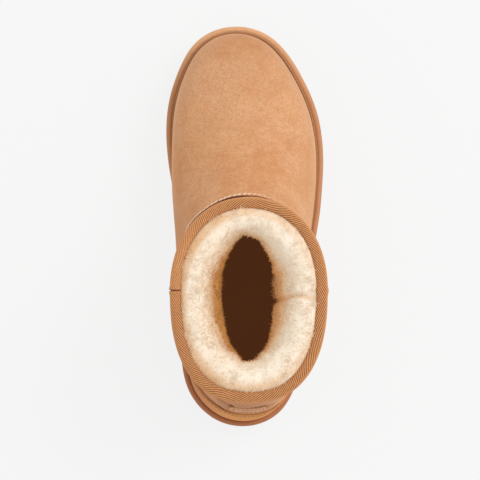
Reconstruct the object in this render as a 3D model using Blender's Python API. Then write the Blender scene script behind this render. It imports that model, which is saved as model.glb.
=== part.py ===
"""Sheepskin ankle boot for the right foot, as an assembly of its maker's pieces.

Metres, +Z up. The toe points along +Y and the outer side of the foot is +X. The origin lies on the floor,
under the middle of the sole's length and ball width.

The upper is one surface, upper_point(angle, rise): angle runs round the boot, 0 at the toe, 90 degrees at
the outer side seam and 180 at the heel, and rise runs from 0 at the sole to 1 at the collar. Every piece of
skin, wool and tape is worked out from that surface.
"""

import math

import bmesh
import bpy
import numpy as np

# Driving sizes of the sole
SOLE_LENGTH = 0.2696
BALL_WIDTH = 0.1064
HEEL_THICKNESS = 0.0265
FOREFOOT_THICKNESS = 0.0185
TOE_SPRING = 0.0090
HEEL_SPRING = 0.0015
ARCH_LIFT = 0.0025
SOLE_LEDGE = 0.0044
SOLE_RIM_RISE = 0.0008
SOLE_RIM_ROUND = 0.0020
SOLE_UNDER_ROUND = 0.0030
SIDE_GROOVE_HEIGHT = 0.0070
SIDE_GROOVE_WIDTH = 0.0016
SIDE_GROOVE_DEPTH = 0.0011

# Driving sizes of the tread
TREAD_GROOVE_DEPTH = 0.0020
TREAD_GROOVE_WIDTH = 0.0034
TREAD_PITCH = 0.0135
TREAD_CHEVRON = 0.0070
FOREFOOT_GROOVES = 7
HEEL_GROOVES = 4

# Driving sizes of the upper
COLLAR_HEIGHT = 0.1500
COLLAR_LENGTH = 0.1220
COLLAR_WIDTH = 0.0930
COLLAR_FROM_HEEL = 0.0818
COLLAR_SIDEWAYS = 0.0021
COLLAR_FRONT_SQUARENESS = 2.14
COLLAR_BACK_SQUARENESS = 2.44
SIDE_SEAM_FROM_HEEL = 0.0875
INSTEP_HEIGHT = 0.1040
ARCH_OVERHANG = 0.0080
FOREFOOT_SIDEWAYS = -0.0013
UPPER_WALL = 0.0025

# Driving sizes of the wool pile and the insole
WOOL_AT_COLLAR = 0.0187
WOOL_AT_ANKLE = 0.0205
WOOL_IN_CORNERS = 0.0030
WOOL_IN_FOOT = 0.0110
WOOL_CREST = 0.0030
LOCK_DEPTH = 0.0014
INSOLE_THICKNESS = 0.0060

# Driving sizes of the tape, ridges and overlays
TAPE_THICKNESS = 0.0011
TAPE_DROP = 0.0085
TAPE_TOP_WIDTH = 0.0050
RIDGE_WIDTH = 0.0028
RIDGE_HEIGHT = 0.0016
OVERLAY_LIFT = 0.0006
VAMP_SEAM_HEIGHT = 0.1032
VAMP_SEAM_SIDE_HEIGHT = 0.0590
VAMP_SEAM_REACH = 86.5
VAMP_SEAM_CURVE = 1.45
RIDGE_END_TAPER = 0.35
COUNTER_THICKNESS = 0.0012
COUNTER_BACK_HEIGHT = 0.0795
COUNTER_END_HEIGHT = 0.0310
COUNTER_REACH = 70.0
TAB_WIDTH = 0.0230
TAB_HEIGHT = 0.0110
TAB_CORNER = 0.0020
TAB_THICKNESS = 0.0010
TAB_CENTRE_HEIGHT = 0.0930

# Pieces that touch keep this gap
GAP = 0.0003

# Plan of the sole: share of the length from the heel, then how far each side stands out, as a share of
# the ball width. The inner side is negative.
SOLE_PLAN = (
    # along, inner, outer
    (0.015, -0.176, 0.146),
    (0.039, -0.262, 0.228),
    (0.080, -0.343, 0.296),
    (0.157, -0.397, 0.352),
    (0.235, -0.401, 0.370),
    (0.330, -0.389, 0.392),
    (0.425, -0.396, 0.430),
    (0.520, -0.425, 0.474),
    (0.600, -0.463, 0.494),
    (0.680, -0.494, 0.5004),
    (0.740, -0.5018, 0.486),
    (0.800, -0.490, 0.450),
    (0.857, -0.454, 0.387),
    (0.905, -0.405, 0.320),
    (0.945, -0.346, 0.245),
    (0.975, -0.266, 0.160),
)
SOLE_HEEL_TIP = -0.018
SOLE_TOE_TIP = -0.052

# Rings of the upper's cage, from the sole up. Reach is 0 at the collar's front or back and 1 at the
# sole's. Rise is 0 at the sole, 1 at the instep and 2 at the collar. Girth is a half width beside the
# collar's, round is how far the ring has turned from the foot's outline into an oval, and arch is its
# share of the inner overhang.
UPPER_RINGS = (
    # name, front reach, front rise, back reach, back rise, girth, round, arch
    ("feather line", 0.986, 0.00, 0.93, 0.00, 0.86, 0.00, 0.00),
    ("sole bulge", 0.988, 0.17, 0.97, 0.16, 0.88, 0.06, 0.90),
    ("toe wall", 0.968, 0.38, 0.96, 0.34, 0.88, 0.18, 1.00),
    ("toe top", 0.790, 0.48, 0.84, 0.52, 0.87, 0.62, 0.80),
    ("vamp", 0.455, 0.61, 0.60, 0.74, 0.86, 1.00, 0.40),
    ("instep", 0.150, 0.82, 0.32, 0.98, 0.86, 1.00, 0.00),
    ("ankle", -0.020, 1.14, 0.05, 1.28, 0.90, 1.00, 0.00),
    ("shaft", -0.020, 1.55, 0.00, 1.62, 0.96, 1.00, 0.00),
    ("collar", 0.000, 2.00, 0.00, 2.00, 1.00, 1.00, 0.00),
)

# Where the pile is deeper or thinner than elsewhere: the angle round the boot and how far it reaches, in
# degrees, and the extra depth as a share of the pile's depth at the ankle.
PILE_SHIFTS = (
    # angle, reach, extra share
    (-6.0, 42.0, -0.137),
    (158.0, 16.0, 0.156),
    (-157.0, 16.0, 0.146),
)

# Section of the wool's rim over the collar: share of the way from the tape to the pile's inner face, and
# height over the collar's edge as a share of the crest
WOOL_RIM = (
    # across, lift
    (0.00, -0.72),
    (0.02, 0.62),
    (0.25, 1.00),
    (0.55, 0.92),
    (0.84, 0.20),
)

# How finely the pieces are cut into faces
FRONT_STEPS = 15
BACK_STEPS = 10
RISE_STEPS = 17
PLAN_POINTS = 720

MATERIALS = {
    # name: colour, roughness
    "suede": ((0.62, 0.36, 0.19), 0.95),
    "tape": ((0.48, 0.24, 0.11), 0.85),
    "wool": ((0.88, 0.78, 0.60), 1.00),
    "insole wool": ((0.16, 0.08, 0.04), 1.00),
    "foam sole": ((0.44, 0.22, 0.11), 0.70),
    "counter suede": ((0.60, 0.33, 0.15), 0.90),
}

HEEL_Y = -SOLE_LENGTH / 2
TOE_Y = SOLE_LENGTH / 2
SEAM_Y = HEEL_Y + SIDE_SEAM_FROM_HEEL
COLLAR_Y = HEEL_Y + COLLAR_FROM_HEEL


def smooth(value, start, end):
    """0 before start and 1 after end, easing between them."""
    share = np.clip((value - start) / (end - start), 0.0, 1.0)
    return share * share * (3 - 2 * share)


# Plan of the sole


def closed_spline(points, count):
    """A closed smooth curve through the points, read at count places."""
    points = np.asarray(points, float)
    size = len(points)
    ahead = np.roll(points, -1, axis=0)
    steps = np.linalg.norm(ahead - points, axis=1)
    before = np.roll(steps, 1)
    bend = np.zeros((size, size))
    pull = np.zeros_like(points)
    for i in range(size):
        bend[i, i - 1] += before[i]
        bend[i, i] += 2 * (before[i] + steps[i])
        bend[i, (i + 1) % size] += steps[i]
        pull[i] = 6 * ((ahead[i] - points[i]) / steps[i] - (points[i] - points[i - 1]) / before[i])
    curl = np.linalg.solve(bend, pull)
    starts = np.concatenate([[0.0], np.cumsum(steps)])
    places = np.linspace(0, starts[-1], count, endpoint=False)
    span = np.searchsorted(starts, places, side="right") - 1
    length = steps[span][:, None]
    right = ((places - starts[span]) / steps[span])[:, None]
    left = 1 - right
    following = (span + 1) % size
    straight = left * points[span] + right * points[following]
    bow = (left**3 - left) * curl[span] + (right**3 - right) * curl[following]
    return straight + bow * length**2 / 6


def sole_plan():
    """The sole's outline seen from above, from the toe round the outer side, at its exact length and width."""
    outer = [(out, along) for along, _, out in reversed(SOLE_PLAN)]
    inner = [(into, along) for along, into, _ in SOLE_PLAN]
    rows = [(SOLE_TOE_TIP, 1.0), *outer, (SOLE_HEEL_TIP, 0.0), *inner]
    plan = closed_spline([(x * BALL_WIDTH, (y - 0.5) * SOLE_LENGTH) for x, y in rows], PLAN_POINTS)
    low = plan.min(axis=0)
    high = plan.max(axis=0)
    centred = plan - (low + high) / 2
    return centred * np.array([BALL_WIDTH, SOLE_LENGTH]) / (high - low)


PLAN = sole_plan()


def inset_plan(inset):
    """The sole's outline moved inwards by inset."""
    along = np.roll(PLAN, -1, axis=0) - np.roll(PLAN, 1, axis=0)
    along /= np.linalg.norm(along, axis=1)[:, None]
    inwards = np.stack([along[:, 1], -along[:, 0]], axis=1)
    return PLAN + inset * inwards


def plan_at(angles, inset):
    """Points of the inset outline for angles in radians, 0 at the toe and pi / 2 at the outer side seam."""
    plan = inset_plan(inset)
    toe = int(plan[:, 1].argmax())
    plan = np.roll(plan, -toe, axis=0)
    heel = int(plan[:, 1].argmin())
    outer = plan[: heel + 1]
    inner = np.concatenate([plan[heel:], plan[:1]])
    angles = np.asarray(angles, float)
    turn = np.cos(angles)
    reach = np.where(turn > 0, plan[0, 1] - SEAM_Y, SEAM_Y - plan[heel, 1])
    y = SEAM_Y + reach * turn
    x_outer = np.interp(-y, -outer[:, 1], outer[:, 0])
    x_inner = np.interp(y, inner[:, 1], inner[:, 0])
    return np.stack([np.where(np.sin(angles) >= 0, x_outer, x_inner), y], axis=1)


def ring_angles(front_steps=FRONT_STEPS, back_steps=BACK_STEPS):
    """Angles of one ring of points, evenly spaced in front of the side seams and behind them."""
    front = np.linspace(0, math.pi / 2, front_steps + 1)
    back = np.linspace(math.pi / 2, math.pi, back_steps + 1)
    half = np.concatenate([front, back[1:]])
    return np.concatenate([half, 2 * math.pi - half[-2:0:-1]])


# Heights of the sole


def along_share(y):
    return (np.asarray(y, float) - HEEL_Y) / SOLE_LENGTH


def under_height(y):
    """Height of the sole's underside over the floor: flat under heel and forefoot, raised between and at the ends."""
    share = along_share(y)
    spring = TOE_SPRING * smooth(share, 0.76, 1.06) / smooth(1.0, 0.76, 1.06)
    arch = ARCH_LIFT * smooth(share, 0.37, 0.45) * (1 - smooth(share, 0.52, 0.60))
    return spring + arch + HEEL_SPRING * (1 - smooth(share, -0.02, 0.07))


def top_height(y):
    """Height of the sole's rim over the floor."""
    share = along_share(y)
    thickness = HEEL_THICKNESS + (FOREFOOT_THICKNESS - HEEL_THICKNESS) * smooth(share, 0.18, 0.68)
    spring = 0.55 * TOE_SPRING * smooth(share, 0.74, 1.04)
    return thickness + spring


def seat_height(y):
    """Height of the seat inside the rim, on which upper and insole stand."""
    return top_height(y) - SOLE_RIM_RISE


# Surface of the upper


def ring_point(row, angles):
    """Points of one ring of the upper's cage."""
    _, front_reach, front_rise, back_reach, back_rise, girth, rounded, arch = row
    feather = plan_at(angles, SOLE_LEDGE)
    ends = plan_at([0.0, math.pi], SOLE_LEDGE)
    turn = np.cos(angles)
    swing = np.sin(angles)
    collar_front = COLLAR_Y + COLLAR_LENGTH / 2
    collar_back = COLLAR_Y - COLLAR_LENGTH / 2
    front = collar_front + front_reach * (ends[0, 1] - collar_front)
    back = collar_back + back_reach * (ends[1, 1] - collar_back)
    y = SEAM_Y + np.where(turn > 0, front - SEAM_Y, SEAM_Y - back) * turn
    squareness = np.where(turn > 0, COLLAR_FRONT_SQUARENESS, COLLAR_BACK_SQUARENESS)
    power = 2 / (2 + (squareness - 2) * rounded)
    oval = girth * COLLAR_WIDTH / 2 * np.sign(swing) * np.abs(swing) ** power + COLLAR_SIDEWAYS
    if rounded > 0.99:
        y = SEAM_Y + np.where(turn > 0, front - SEAM_Y, SEAM_Y - back) * np.sign(turn) * np.abs(turn) ** power
    x = feather[:, 0] * (1 - rounded) + oval * rounded
    waist = smooth(along_share(y), 0.12, 0.42) * (1 - smooth(along_share(y), 0.52, 0.78))
    x = x - ARCH_OVERHANG * arch * waist * np.clip(-swing, 0, 1)
    x = x + FOREFOOT_SIDEWAYS * arch * (1 - rounded) * smooth(along_share(y), 0.5, 0.75)
    low = seat_height(y) + GAP
    rise = back_rise + (front_rise - back_rise) * (1 + turn) / 2
    to_instep = low + rise * (INSTEP_HEIGHT - low)
    to_collar = INSTEP_HEIGHT + (rise - 1) * (COLLAR_HEIGHT - INSTEP_HEIGHT)
    z = np.where(rise < 1, to_instep, to_collar)
    return np.stack([x, y, z], axis=1)


def spline_weights(rises, count):
    """Weights of a clamped cubic B-spline's count control points at each rise from 0 to 1."""
    degree = 3
    inner = np.linspace(0, 1, count - degree + 1)
    knots = np.concatenate([np.zeros(degree), inner, np.ones(degree)])
    rises = np.clip(np.asarray(rises, float), 0, 1 - 1e-9)[:, None]
    weights = ((rises >= knots[:-1]) & (rises < knots[1:])).astype(float)
    for order in range(1, degree + 1):
        size = len(knots) - 1 - order
        low = knots[:size]
        high = knots[order : order + size]
        rising = np.where(high > low, (rises - low) / np.where(high > low, high - low, 1), 0)
        low = knots[1 : 1 + size]
        high = knots[order + 1 : order + 1 + size]
        falling = np.where(high > low, (high - rises) / np.where(high > low, high - low, 1), 0)
        weights = rising * weights[:, :size] + falling * weights[:, 1 : size + 1]
    return weights


def upper_surface(angles, rises):
    """Points of the upper's outer face, one for each pair of angle and rise."""
    angles = np.asarray(angles, float)
    cage = np.stack([ring_point(row, angles) for row in UPPER_RINGS])
    weights = spline_weights(rises, len(UPPER_RINGS))
    return np.einsum("nk,knd->nd", weights, cage)


def upper_point(angles, rises, outwards=0.0):
    """Points of the upper's outer face moved along its normal by outwards, which is negative inside."""
    angles, rises, outwards = np.broadcast_arrays(
        np.asarray(angles, float), np.asarray(rises, float), np.asarray(outwards, float)
    )
    shape = angles.shape
    angles, rises, outwards = angles.ravel(), rises.ravel(), outwards.ravel()
    step = 2e-3
    round_it = upper_surface(angles + step, rises) - upper_surface(angles - step, rises)
    low = np.clip(rises - step, 0, 1)
    high = np.clip(rises + step, 0, 1)
    up_it = upper_surface(angles, high) - upper_surface(angles, low)
    normal = np.cross(up_it, round_it)
    normal /= np.linalg.norm(normal, axis=1)[:, None]
    points = upper_surface(angles, rises) + normal * outwards[:, None]
    return points.reshape(*shape, 3)


def rise_at_height(angles, heights, outwards=0.0):
    """The rise at which the upper's face, moved by outwards, reaches each height at each angle."""
    angles = np.atleast_1d(angles)
    rises = np.linspace(0, 1, 201)
    lines = np.maximum.accumulate(upper_point(angles[:, None], rises, outwards)[..., 2], axis=1)
    heights = np.broadcast_to(heights, angles.shape)
    return np.array([np.interp(height, line, rises) for height, line in zip(heights, lines)])


# Solids


def new_object(name, bm, material, collection):
    bmesh.ops.recalc_face_normals(bm, faces=bm.faces)
    mesh = bpy.data.meshes.new(name)
    bm.to_mesh(mesh)
    bm.free()
    mesh.materials.append(material)
    mesh.shade_smooth()
    mesh.set_sharp_from_angle(angle=math.radians(40))
    thing = bpy.data.objects.new(name, mesh)
    collection.objects.link(thing)
    return thing


def add_loft(bm, rows, close_rows):
    """Quads between successive closed rings of points. With close_rows the last ring joins the first."""
    rings = [[bm.verts.new(point) for point in row] for row in rows]
    pairs = list(zip(rings, rings[1:] + rings[:1])) if close_rows else list(zip(rings, rings[1:]))
    for lower, upper in pairs:
        for i in range(len(lower)):
            after = (i + 1) % len(lower)
            bm.faces.new((lower[i], lower[after], upper[after], upper[i]))
    return rings


def add_ladder(bm, ring):
    """Closes a ring of points with rungs across it, from its first point to the one half way round."""
    half = len(ring) // 2
    bm.faces.new((ring[0], ring[1], ring[-1]))
    for i in range(1, half - 1):
        bm.faces.new((ring[i], ring[i + 1], ring[-i - 1], ring[-i]))
    bm.faces.new((ring[half - 1], ring[half], ring[half + 1]))


def make_outsole(material, collection):
    """The one-piece foam sole: a rounded rim round a seat, a grooved side and a chevron tread."""
    angles = ring_angles()

    def ring(inset, level, of_height):
        plan = plan_at(angles, inset)
        heights = of_height(plan[:, 1]) + level
        return np.column_stack([plan, heights])

    groove_low = SIDE_GROOVE_HEIGHT
    groove_high = SIDE_GROOVE_HEIGHT + SIDE_GROOVE_WIDTH
    rows = [
        ring(SOLE_UNDER_ROUND, 0.0, under_height),
        ring(SOLE_UNDER_ROUND * 0.25, SOLE_UNDER_ROUND * 0.55, under_height),
        ring(0.0, SOLE_UNDER_ROUND * 1.4, under_height),
        ring(0.0, groove_low, under_height),
        ring(SIDE_GROOVE_DEPTH, groove_low + SIDE_GROOVE_WIDTH * 0.3, under_height),
        ring(SIDE_GROOVE_DEPTH, groove_low + SIDE_GROOVE_WIDTH * 0.7, under_height),
        ring(0.0, groove_high, under_height),
        ring(0.0, -SOLE_RIM_ROUND, top_height),
        ring(SOLE_RIM_ROUND * 0.3, -SOLE_RIM_ROUND * 0.3, top_height),
        ring(SOLE_RIM_ROUND, 0.0, top_height),
        ring(SOLE_LEDGE - SOLE_RIM_RISE * 0.6, 0.0, seat_height),
    ]
    bm = bmesh.new()
    rings = add_loft(bm, rows, close_rows=False)
    add_ladder(bm, rings[0])
    add_ladder(bm, rings[-1])
    return new_object("outsole", bm, material, collection)


def add_chevron(bm, y, width, reach):
    """One tread groove: a V-shaped bar across the sole, pointing to the toe and standing in the underside."""
    outline = [
        (-reach, y - TREAD_CHEVRON - width / 2),
        (0.0, y - width / 2),
        (reach, y - TREAD_CHEVRON - width / 2),
        (reach, y - TREAD_CHEVRON + width / 2),
        (0.0, y + width / 2),
        (-reach, y - TREAD_CHEVRON + width / 2),
    ]
    top = TREAD_GROOVE_DEPTH + float(under_height(y - TREAD_CHEVRON / 2))
    low = [bm.verts.new((x, along, -TREAD_GROOVE_DEPTH)) for x, along in outline]
    high = [bm.verts.new((x, along, top)) for x, along in outline]
    bm.faces.new(low)
    bm.faces.new(high)
    for i in range(len(outline)):
        after = (i + 1) % len(outline)
        bm.faces.new((low[i], low[after], high[after], high[i]))


def cut_tread(sole, collection):
    """Cuts the chevron grooves under the forefoot and the heel."""
    bm = bmesh.new()
    forefoot = HEEL_Y + 0.69 * SOLE_LENGTH
    heel = HEEL_Y + 0.21 * SOLE_LENGTH
    for middle, count in ((forefoot, FOREFOOT_GROOVES), (heel, HEEL_GROOVES)):
        for i in range(count):
            y = middle + (i - (count - 1) / 2) * TREAD_PITCH + TREAD_CHEVRON / 2
            add_chevron(bm, y, TREAD_GROOVE_WIDTH, BALL_WIDTH)
    cutter = new_object("tread_cutter", bm, sole.data.materials[0], collection)
    cutter.hide_render = True
    cutter.display_type = "WIRE"
    cut = sole.modifiers.new("tread", "BOOLEAN")
    cut.operation = "DIFFERENCE"
    cut.object = cutter


def make_insole(material, collection):
    """The sock that covers the whole seat inside the upper."""
    angles = ring_angles()
    plan = upper_point(angles, 0.0, -UPPER_WALL - 4 * GAP)[:, :2]
    seat = seat_height(plan[:, 1]) + GAP
    rows = [np.column_stack([plan, seat]), np.column_stack([plan, seat + INSOLE_THICKNESS])]
    bm = bmesh.new()
    rings = add_loft(bm, rows, close_rows=False)
    add_ladder(bm, rings[0])
    add_ladder(bm, rings[-1])
    return new_object("insole", bm, material, collection)


def make_upper(material, collection):
    """The skin of foot and shaft in one wall, open underneath and at the collar."""
    angles = ring_angles()
    rises = np.linspace(0, 1, RISE_STEPS + 1)
    outside = [upper_point(angles, rise) for rise in rises]
    inside = [upper_point(angles, rise, -UPPER_WALL) for rise in rises]
    inside[0][:, 2] = outside[0][:, 2]
    inside[-1][:, 2] = outside[-1][:, 2]
    bm = bmesh.new()
    add_loft(bm, outside + inside[::-1], close_rows=True)
    return new_object("upper", bm, material, collection)


def wool_thickness(angles, rises):
    """Depth of the pile: deepest at the sides of the ankle, least in the foot and under the collar's ends."""
    sides = np.abs(np.sin(angles)) ** 0.6
    ankle = WOOL_AT_COLLAR + (WOOL_AT_ANKLE - WOOL_AT_COLLAR) * sides
    up_to_ankle = smooth(rises, 0.25, 0.62)
    up_to_collar = smooth(rises, 0.66, 1.0)
    corners = WOOL_IN_CORNERS * np.sin(2 * angles) ** 2
    for middle, reach, extra in PILE_SHIFTS:
        turned = (np.degrees(angles) - middle + 180) % 360 - 180
        corners = corners + extra * WOOL_AT_ANKLE * np.exp(-((turned / reach) ** 2))
    depth = WOOL_IN_FOOT + (ankle + corners - WOOL_IN_FOOT) * up_to_ankle
    return depth + (WOOL_AT_COLLAR - ankle) * up_to_collar


def lowered(high, low, heights):
    """Points on the straight lines from high to low at the given heights."""
    share = (high[:, 2] - heights) / (high[:, 2] - low[:, 2])
    return high + (low - high) * share[:, None]


def make_wool(material, collection):
    """The pile that lines the whole boot, with its locks raised on the inside and over the rim."""
    angles = ring_angles()
    count = len(angles)
    base = INSOLE_THICKNESS + 2 * GAP
    outer_depth = UPPER_WALL + 1.5 * GAP
    bottom = seat_height(upper_point(angles, 0.0, -outer_depth)[:, 1]) + base
    highest = rise_at_height(0.0, COLLAR_HEIGHT - 0.0022)[0]
    skin_rises = [rise for rise in np.linspace(0, 1, RISE_STEPS + 1) if rise < highest - 0.01]
    outside = [upper_point(angles, rise, -outer_depth) for rise in (*skin_rises, highest)]
    outside[0] = lowered(outside[1], outside[0], bottom)
    lowest = rise_at_height(angles, bottom, -outer_depth)
    inner_rises = np.linspace(0.13, 0.955, 12)
    places = np.arange(count)
    inside = []
    for row, rise in enumerate(inner_rises):
        lock = LOCK_DEPTH * np.cos(math.pi * (places + row))
        depth = outer_depth + wool_thickness(angles, np.full(count, rise)) - lock
        inside.append(upper_point(angles, rise, -depth))
    rim = []
    edge_depth = TAPE_TOP_WIDTH + GAP
    inner_depth = outer_depth + wool_thickness(angles, np.ones(count))
    for row, (across, lift) in enumerate(WOOL_RIM):
        lock = LOCK_DEPTH * 0.7 * np.cos(math.pi * (places + row)) * (lift > 0.5)
        points = upper_point(angles, 1.0, -edge_depth - across * (inner_depth - edge_depth))
        points[:, 2] = COLLAR_HEIGHT + lift * WOOL_CREST + lock
        rim.append(points)
    floor_in = upper_point(angles, lowest, -outer_depth - WOOL_IN_FOOT)
    floor_in[:, 2] = bottom
    bm = bmesh.new()
    add_loft(bm, [*outside, *rim, *inside[::-1], floor_in], close_rows=True)
    return new_object("wool_lining", bm, material, collection)


def make_binding(material, collection):
    """The woven tape folded over the collar's edge."""
    angles = ring_angles()
    low = rise_at_height(angles, COLLAR_HEIGHT - TAPE_DROP)
    over = COLLAR_HEIGHT + GAP
    outer = GAP + TAPE_THICKNESS
    inner = TAPE_TOP_WIDTH

    def level(depth, height):
        points = upper_point(angles, 1.0, depth)
        points[:, 2] = height
        return points

    rows = [
        upper_point(angles, low, GAP),
        upper_point(angles, low, outer),
        upper_point(angles, (low + 1) / 2, outer),
        level(outer, COLLAR_HEIGHT - TAPE_THICKNESS * 0.4),
        level(outer * 0.4, over + TAPE_THICKNESS * 0.7),
        level(-inner * 0.45, over + TAPE_THICKNESS),
        level(-inner * 0.85, over + TAPE_THICKNESS * 0.8),
        level(-inner, over + TAPE_THICKNESS * 0.2),
        level(-inner, over - TAPE_THICKNESS * 0.6),
        level(-UPPER_WALL - 2 * GAP, over - TAPE_THICKNESS * 0.6),
        level(-UPPER_WALL - 2 * GAP, over),
        level(GAP, over),
        upper_point(angles, (low + 1) / 2, GAP),
    ]
    bm = bmesh.new()
    add_loft(bm, rows, close_rows=True)
    return new_object("collar_binding", bm, material, collection)


def make_ridge(name, angles, rises, material, collection):
    """A raised seam that follows a path on the upper and thins out at both ends."""
    path = upper_point(angles, rises, OVERLAY_LIFT)
    along = np.gradient(path, axis=0)
    share = np.linspace(0, 1, len(path))
    taper = RIDGE_END_TAPER + (1 - RIDGE_END_TAPER) * smooth(np.minimum(share, 1 - share), 0.0, 0.08)
    up = upper_point(angles, rises, OVERLAY_LIFT + RIDGE_HEIGHT) - path
    side = np.cross(along, up)
    side *= (RIDGE_WIDTH / 2 * taper / np.linalg.norm(side, axis=1))[:, None]
    up *= taper[:, None]
    outline = ((-1.0, 0.0), (-0.85, 0.65), (-0.35, 1.0), (0.35, 1.0), (0.85, 0.65), (1.0, 0.0))
    sections = np.stack([path + side * across + up * lift for across, lift in outline], axis=1)
    bm = bmesh.new()
    rings = add_loft(bm, list(sections), close_rows=False)
    bm.faces.new(rings[0])
    bm.faces.new(rings[-1])
    return new_object(name, bm, material, collection)


def side_seam(name, angle, material, collection):
    """The upright seam at one side, from the sole to the tape."""
    top = rise_at_height(angle, COLLAR_HEIGHT - TAPE_DROP - 0.0016)[0]
    bottom = rise_at_height(angle, seat_height(SEAM_Y) + 0.0030)[0]
    rises = np.linspace(bottom, top, 16)
    return make_ridge(name, np.full(rises.shape, angle), rises, material, collection)


def vamp_seam(name, material, collection):
    """The seam that joins vamp to shaft, from one side seam over the instep to the other."""
    reach = math.radians(VAMP_SEAM_REACH)
    angles = np.linspace(-reach, reach, 33)
    drop = (1 - np.cos(angles)) ** VAMP_SEAM_CURVE
    heights = VAMP_SEAM_HEIGHT + (VAMP_SEAM_SIDE_HEIGHT - VAMP_SEAM_HEIGHT) * drop
    return make_ridge(name, angles, rise_at_height(angles, heights), material, collection)


def add_shell(bm, sheet, thick_sheet):
    """A closed plate between two grids of points of the same size."""
    low = [[bm.verts.new(point) for point in row] for row in sheet]
    high = [[bm.verts.new(point) for point in row] for row in thick_sheet]
    rows = len(low)
    columns = len(low[0])
    for i in range(rows - 1):
        for j in range(columns - 1):
            bm.faces.new((low[i][j], low[i + 1][j], low[i + 1][j + 1], low[i][j + 1]))
            bm.faces.new((high[i][j], high[i][j + 1], high[i + 1][j + 1], high[i + 1][j]))
    edge = [(0, j) for j in range(columns)] + [(i, columns - 1) for i in range(1, rows)]
    edge += [(rows - 1, j) for j in range(columns - 2, -1, -1)] + [(i, 0) for i in range(rows - 2, 0, -1)]
    for (i, j), (k, m) in zip(edge, edge[1:] + edge[:1]):
        bm.faces.new((low[i][j], low[k][m], high[k][m], high[i][j]))


def make_counter(material, collection):
    """The stiffening patch round the heel, highest at the back and falling to the sole at both ends."""
    reach = math.radians(COUNTER_REACH)
    across = np.linspace(-1, 1, 21)
    angles = math.pi + reach * across
    fall = np.abs(across) ** 2.2
    tops = COUNTER_BACK_HEIGHT + (COUNTER_END_HEIGHT - COUNTER_BACK_HEIGHT) * fall
    high = rise_at_height(angles, tops)
    rim = top_height(upper_point(angles, 0.0)[:, 1])
    low = rise_at_height(angles, rim + 2 * GAP)
    shares = np.linspace(0, 1, 7)
    rises = low + (high - low) * shares[:, None]
    bm = bmesh.new()
    add_shell(bm, *(upper_point(angles, rises, OVERLAY_LIFT + depth) for depth in (0, COUNTER_THICKNESS)))
    return new_object("heel_counter", bm, material, collection)


def make_tab(material, collection):
    """The blank patch above the heel patch, with rounded corners."""
    across = np.linspace(-1, 1, 9)
    up = np.linspace(-1, 1, 5)
    middle = rise_at_height(math.pi, TAB_CENTRE_HEIGHT)[0]
    corner = TAB_CORNER / (TAB_HEIGHT / 2)
    half_width = TAB_WIDTH / 2 - TAB_CORNER * (1 - np.sqrt(1 - smooth(np.abs(up), 1 - corner, 1) ** 2))
    turns = math.pi + np.linspace(-0.6, 0.6, 121)
    middle_x = upper_point(math.pi, middle)[0]
    sideways = upper_point(turns, middle)[:, 0] - middle_x
    angles = np.interp(-half_width[:, None] * across, -sideways, turns)
    heights = TAB_CENTRE_HEIGHT + up * TAB_HEIGHT / 2
    rises = np.broadcast_to(rise_at_height(np.full(up.shape, math.pi), heights)[:, None], angles.shape)
    bm = bmesh.new()
    add_shell(bm, *(upper_point(angles, rises, OVERLAY_LIFT + depth) for depth in (0, TAB_THICKNESS)))
    return new_object("heel_tab", bm, material, collection)


def main():
    for thing in list(bpy.data.objects):
        bpy.data.objects.remove(thing)
    boot = bpy.data.collections.new("sheepskin boot")
    cutters = bpy.data.collections.new("cutters")
    bpy.context.scene.collection.children.link(boot)
    bpy.context.scene.collection.children.link(cutters)
    paint = {}
    for name, (colour, roughness) in MATERIALS.items():
        material = bpy.data.materials.new(name)
        material.use_nodes = True
        shader = material.node_tree.nodes["Principled BSDF"]
        shader.inputs["Base Color"].default_value = (*colour, 1.0)
        shader.inputs["Roughness"].default_value = roughness
        shader.inputs["Metallic"].default_value = 0.0
        paint[name] = material
    sole = make_outsole(paint["foam sole"], boot)
    cut_tread(sole, cutters)
    make_insole(paint["insole wool"], boot)
    make_upper(paint["suede"], boot)
    make_wool(paint["wool"], boot)
    make_binding(paint["tape"], boot)
    make_counter(paint["counter suede"], boot)
    make_tab(paint["tape"], boot)
    vamp_seam("vamp_seam", paint["suede"], boot)
    side_seam("side_seam_lateral", math.pi / 2, paint["suede"], boot)
    side_seam("side_seam_medial", -math.pi / 2, paint["suede"], boot)


main()
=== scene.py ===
"""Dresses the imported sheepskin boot: suede, wool pile, woven collar tape, seams, heel patch and foam sole.

Metres, +Z up, in the boot's own frame: the toe points along +Y and the outer side of the foot is +X.
"""

import math

import bmesh
import bpy
import numpy as np
from bpy.props import FloatProperty, FloatVectorProperty, IntProperty, PointerProperty
from mathutils import Matrix, Vector, noise
from mathutils.bvhtree import BVHTree


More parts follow.
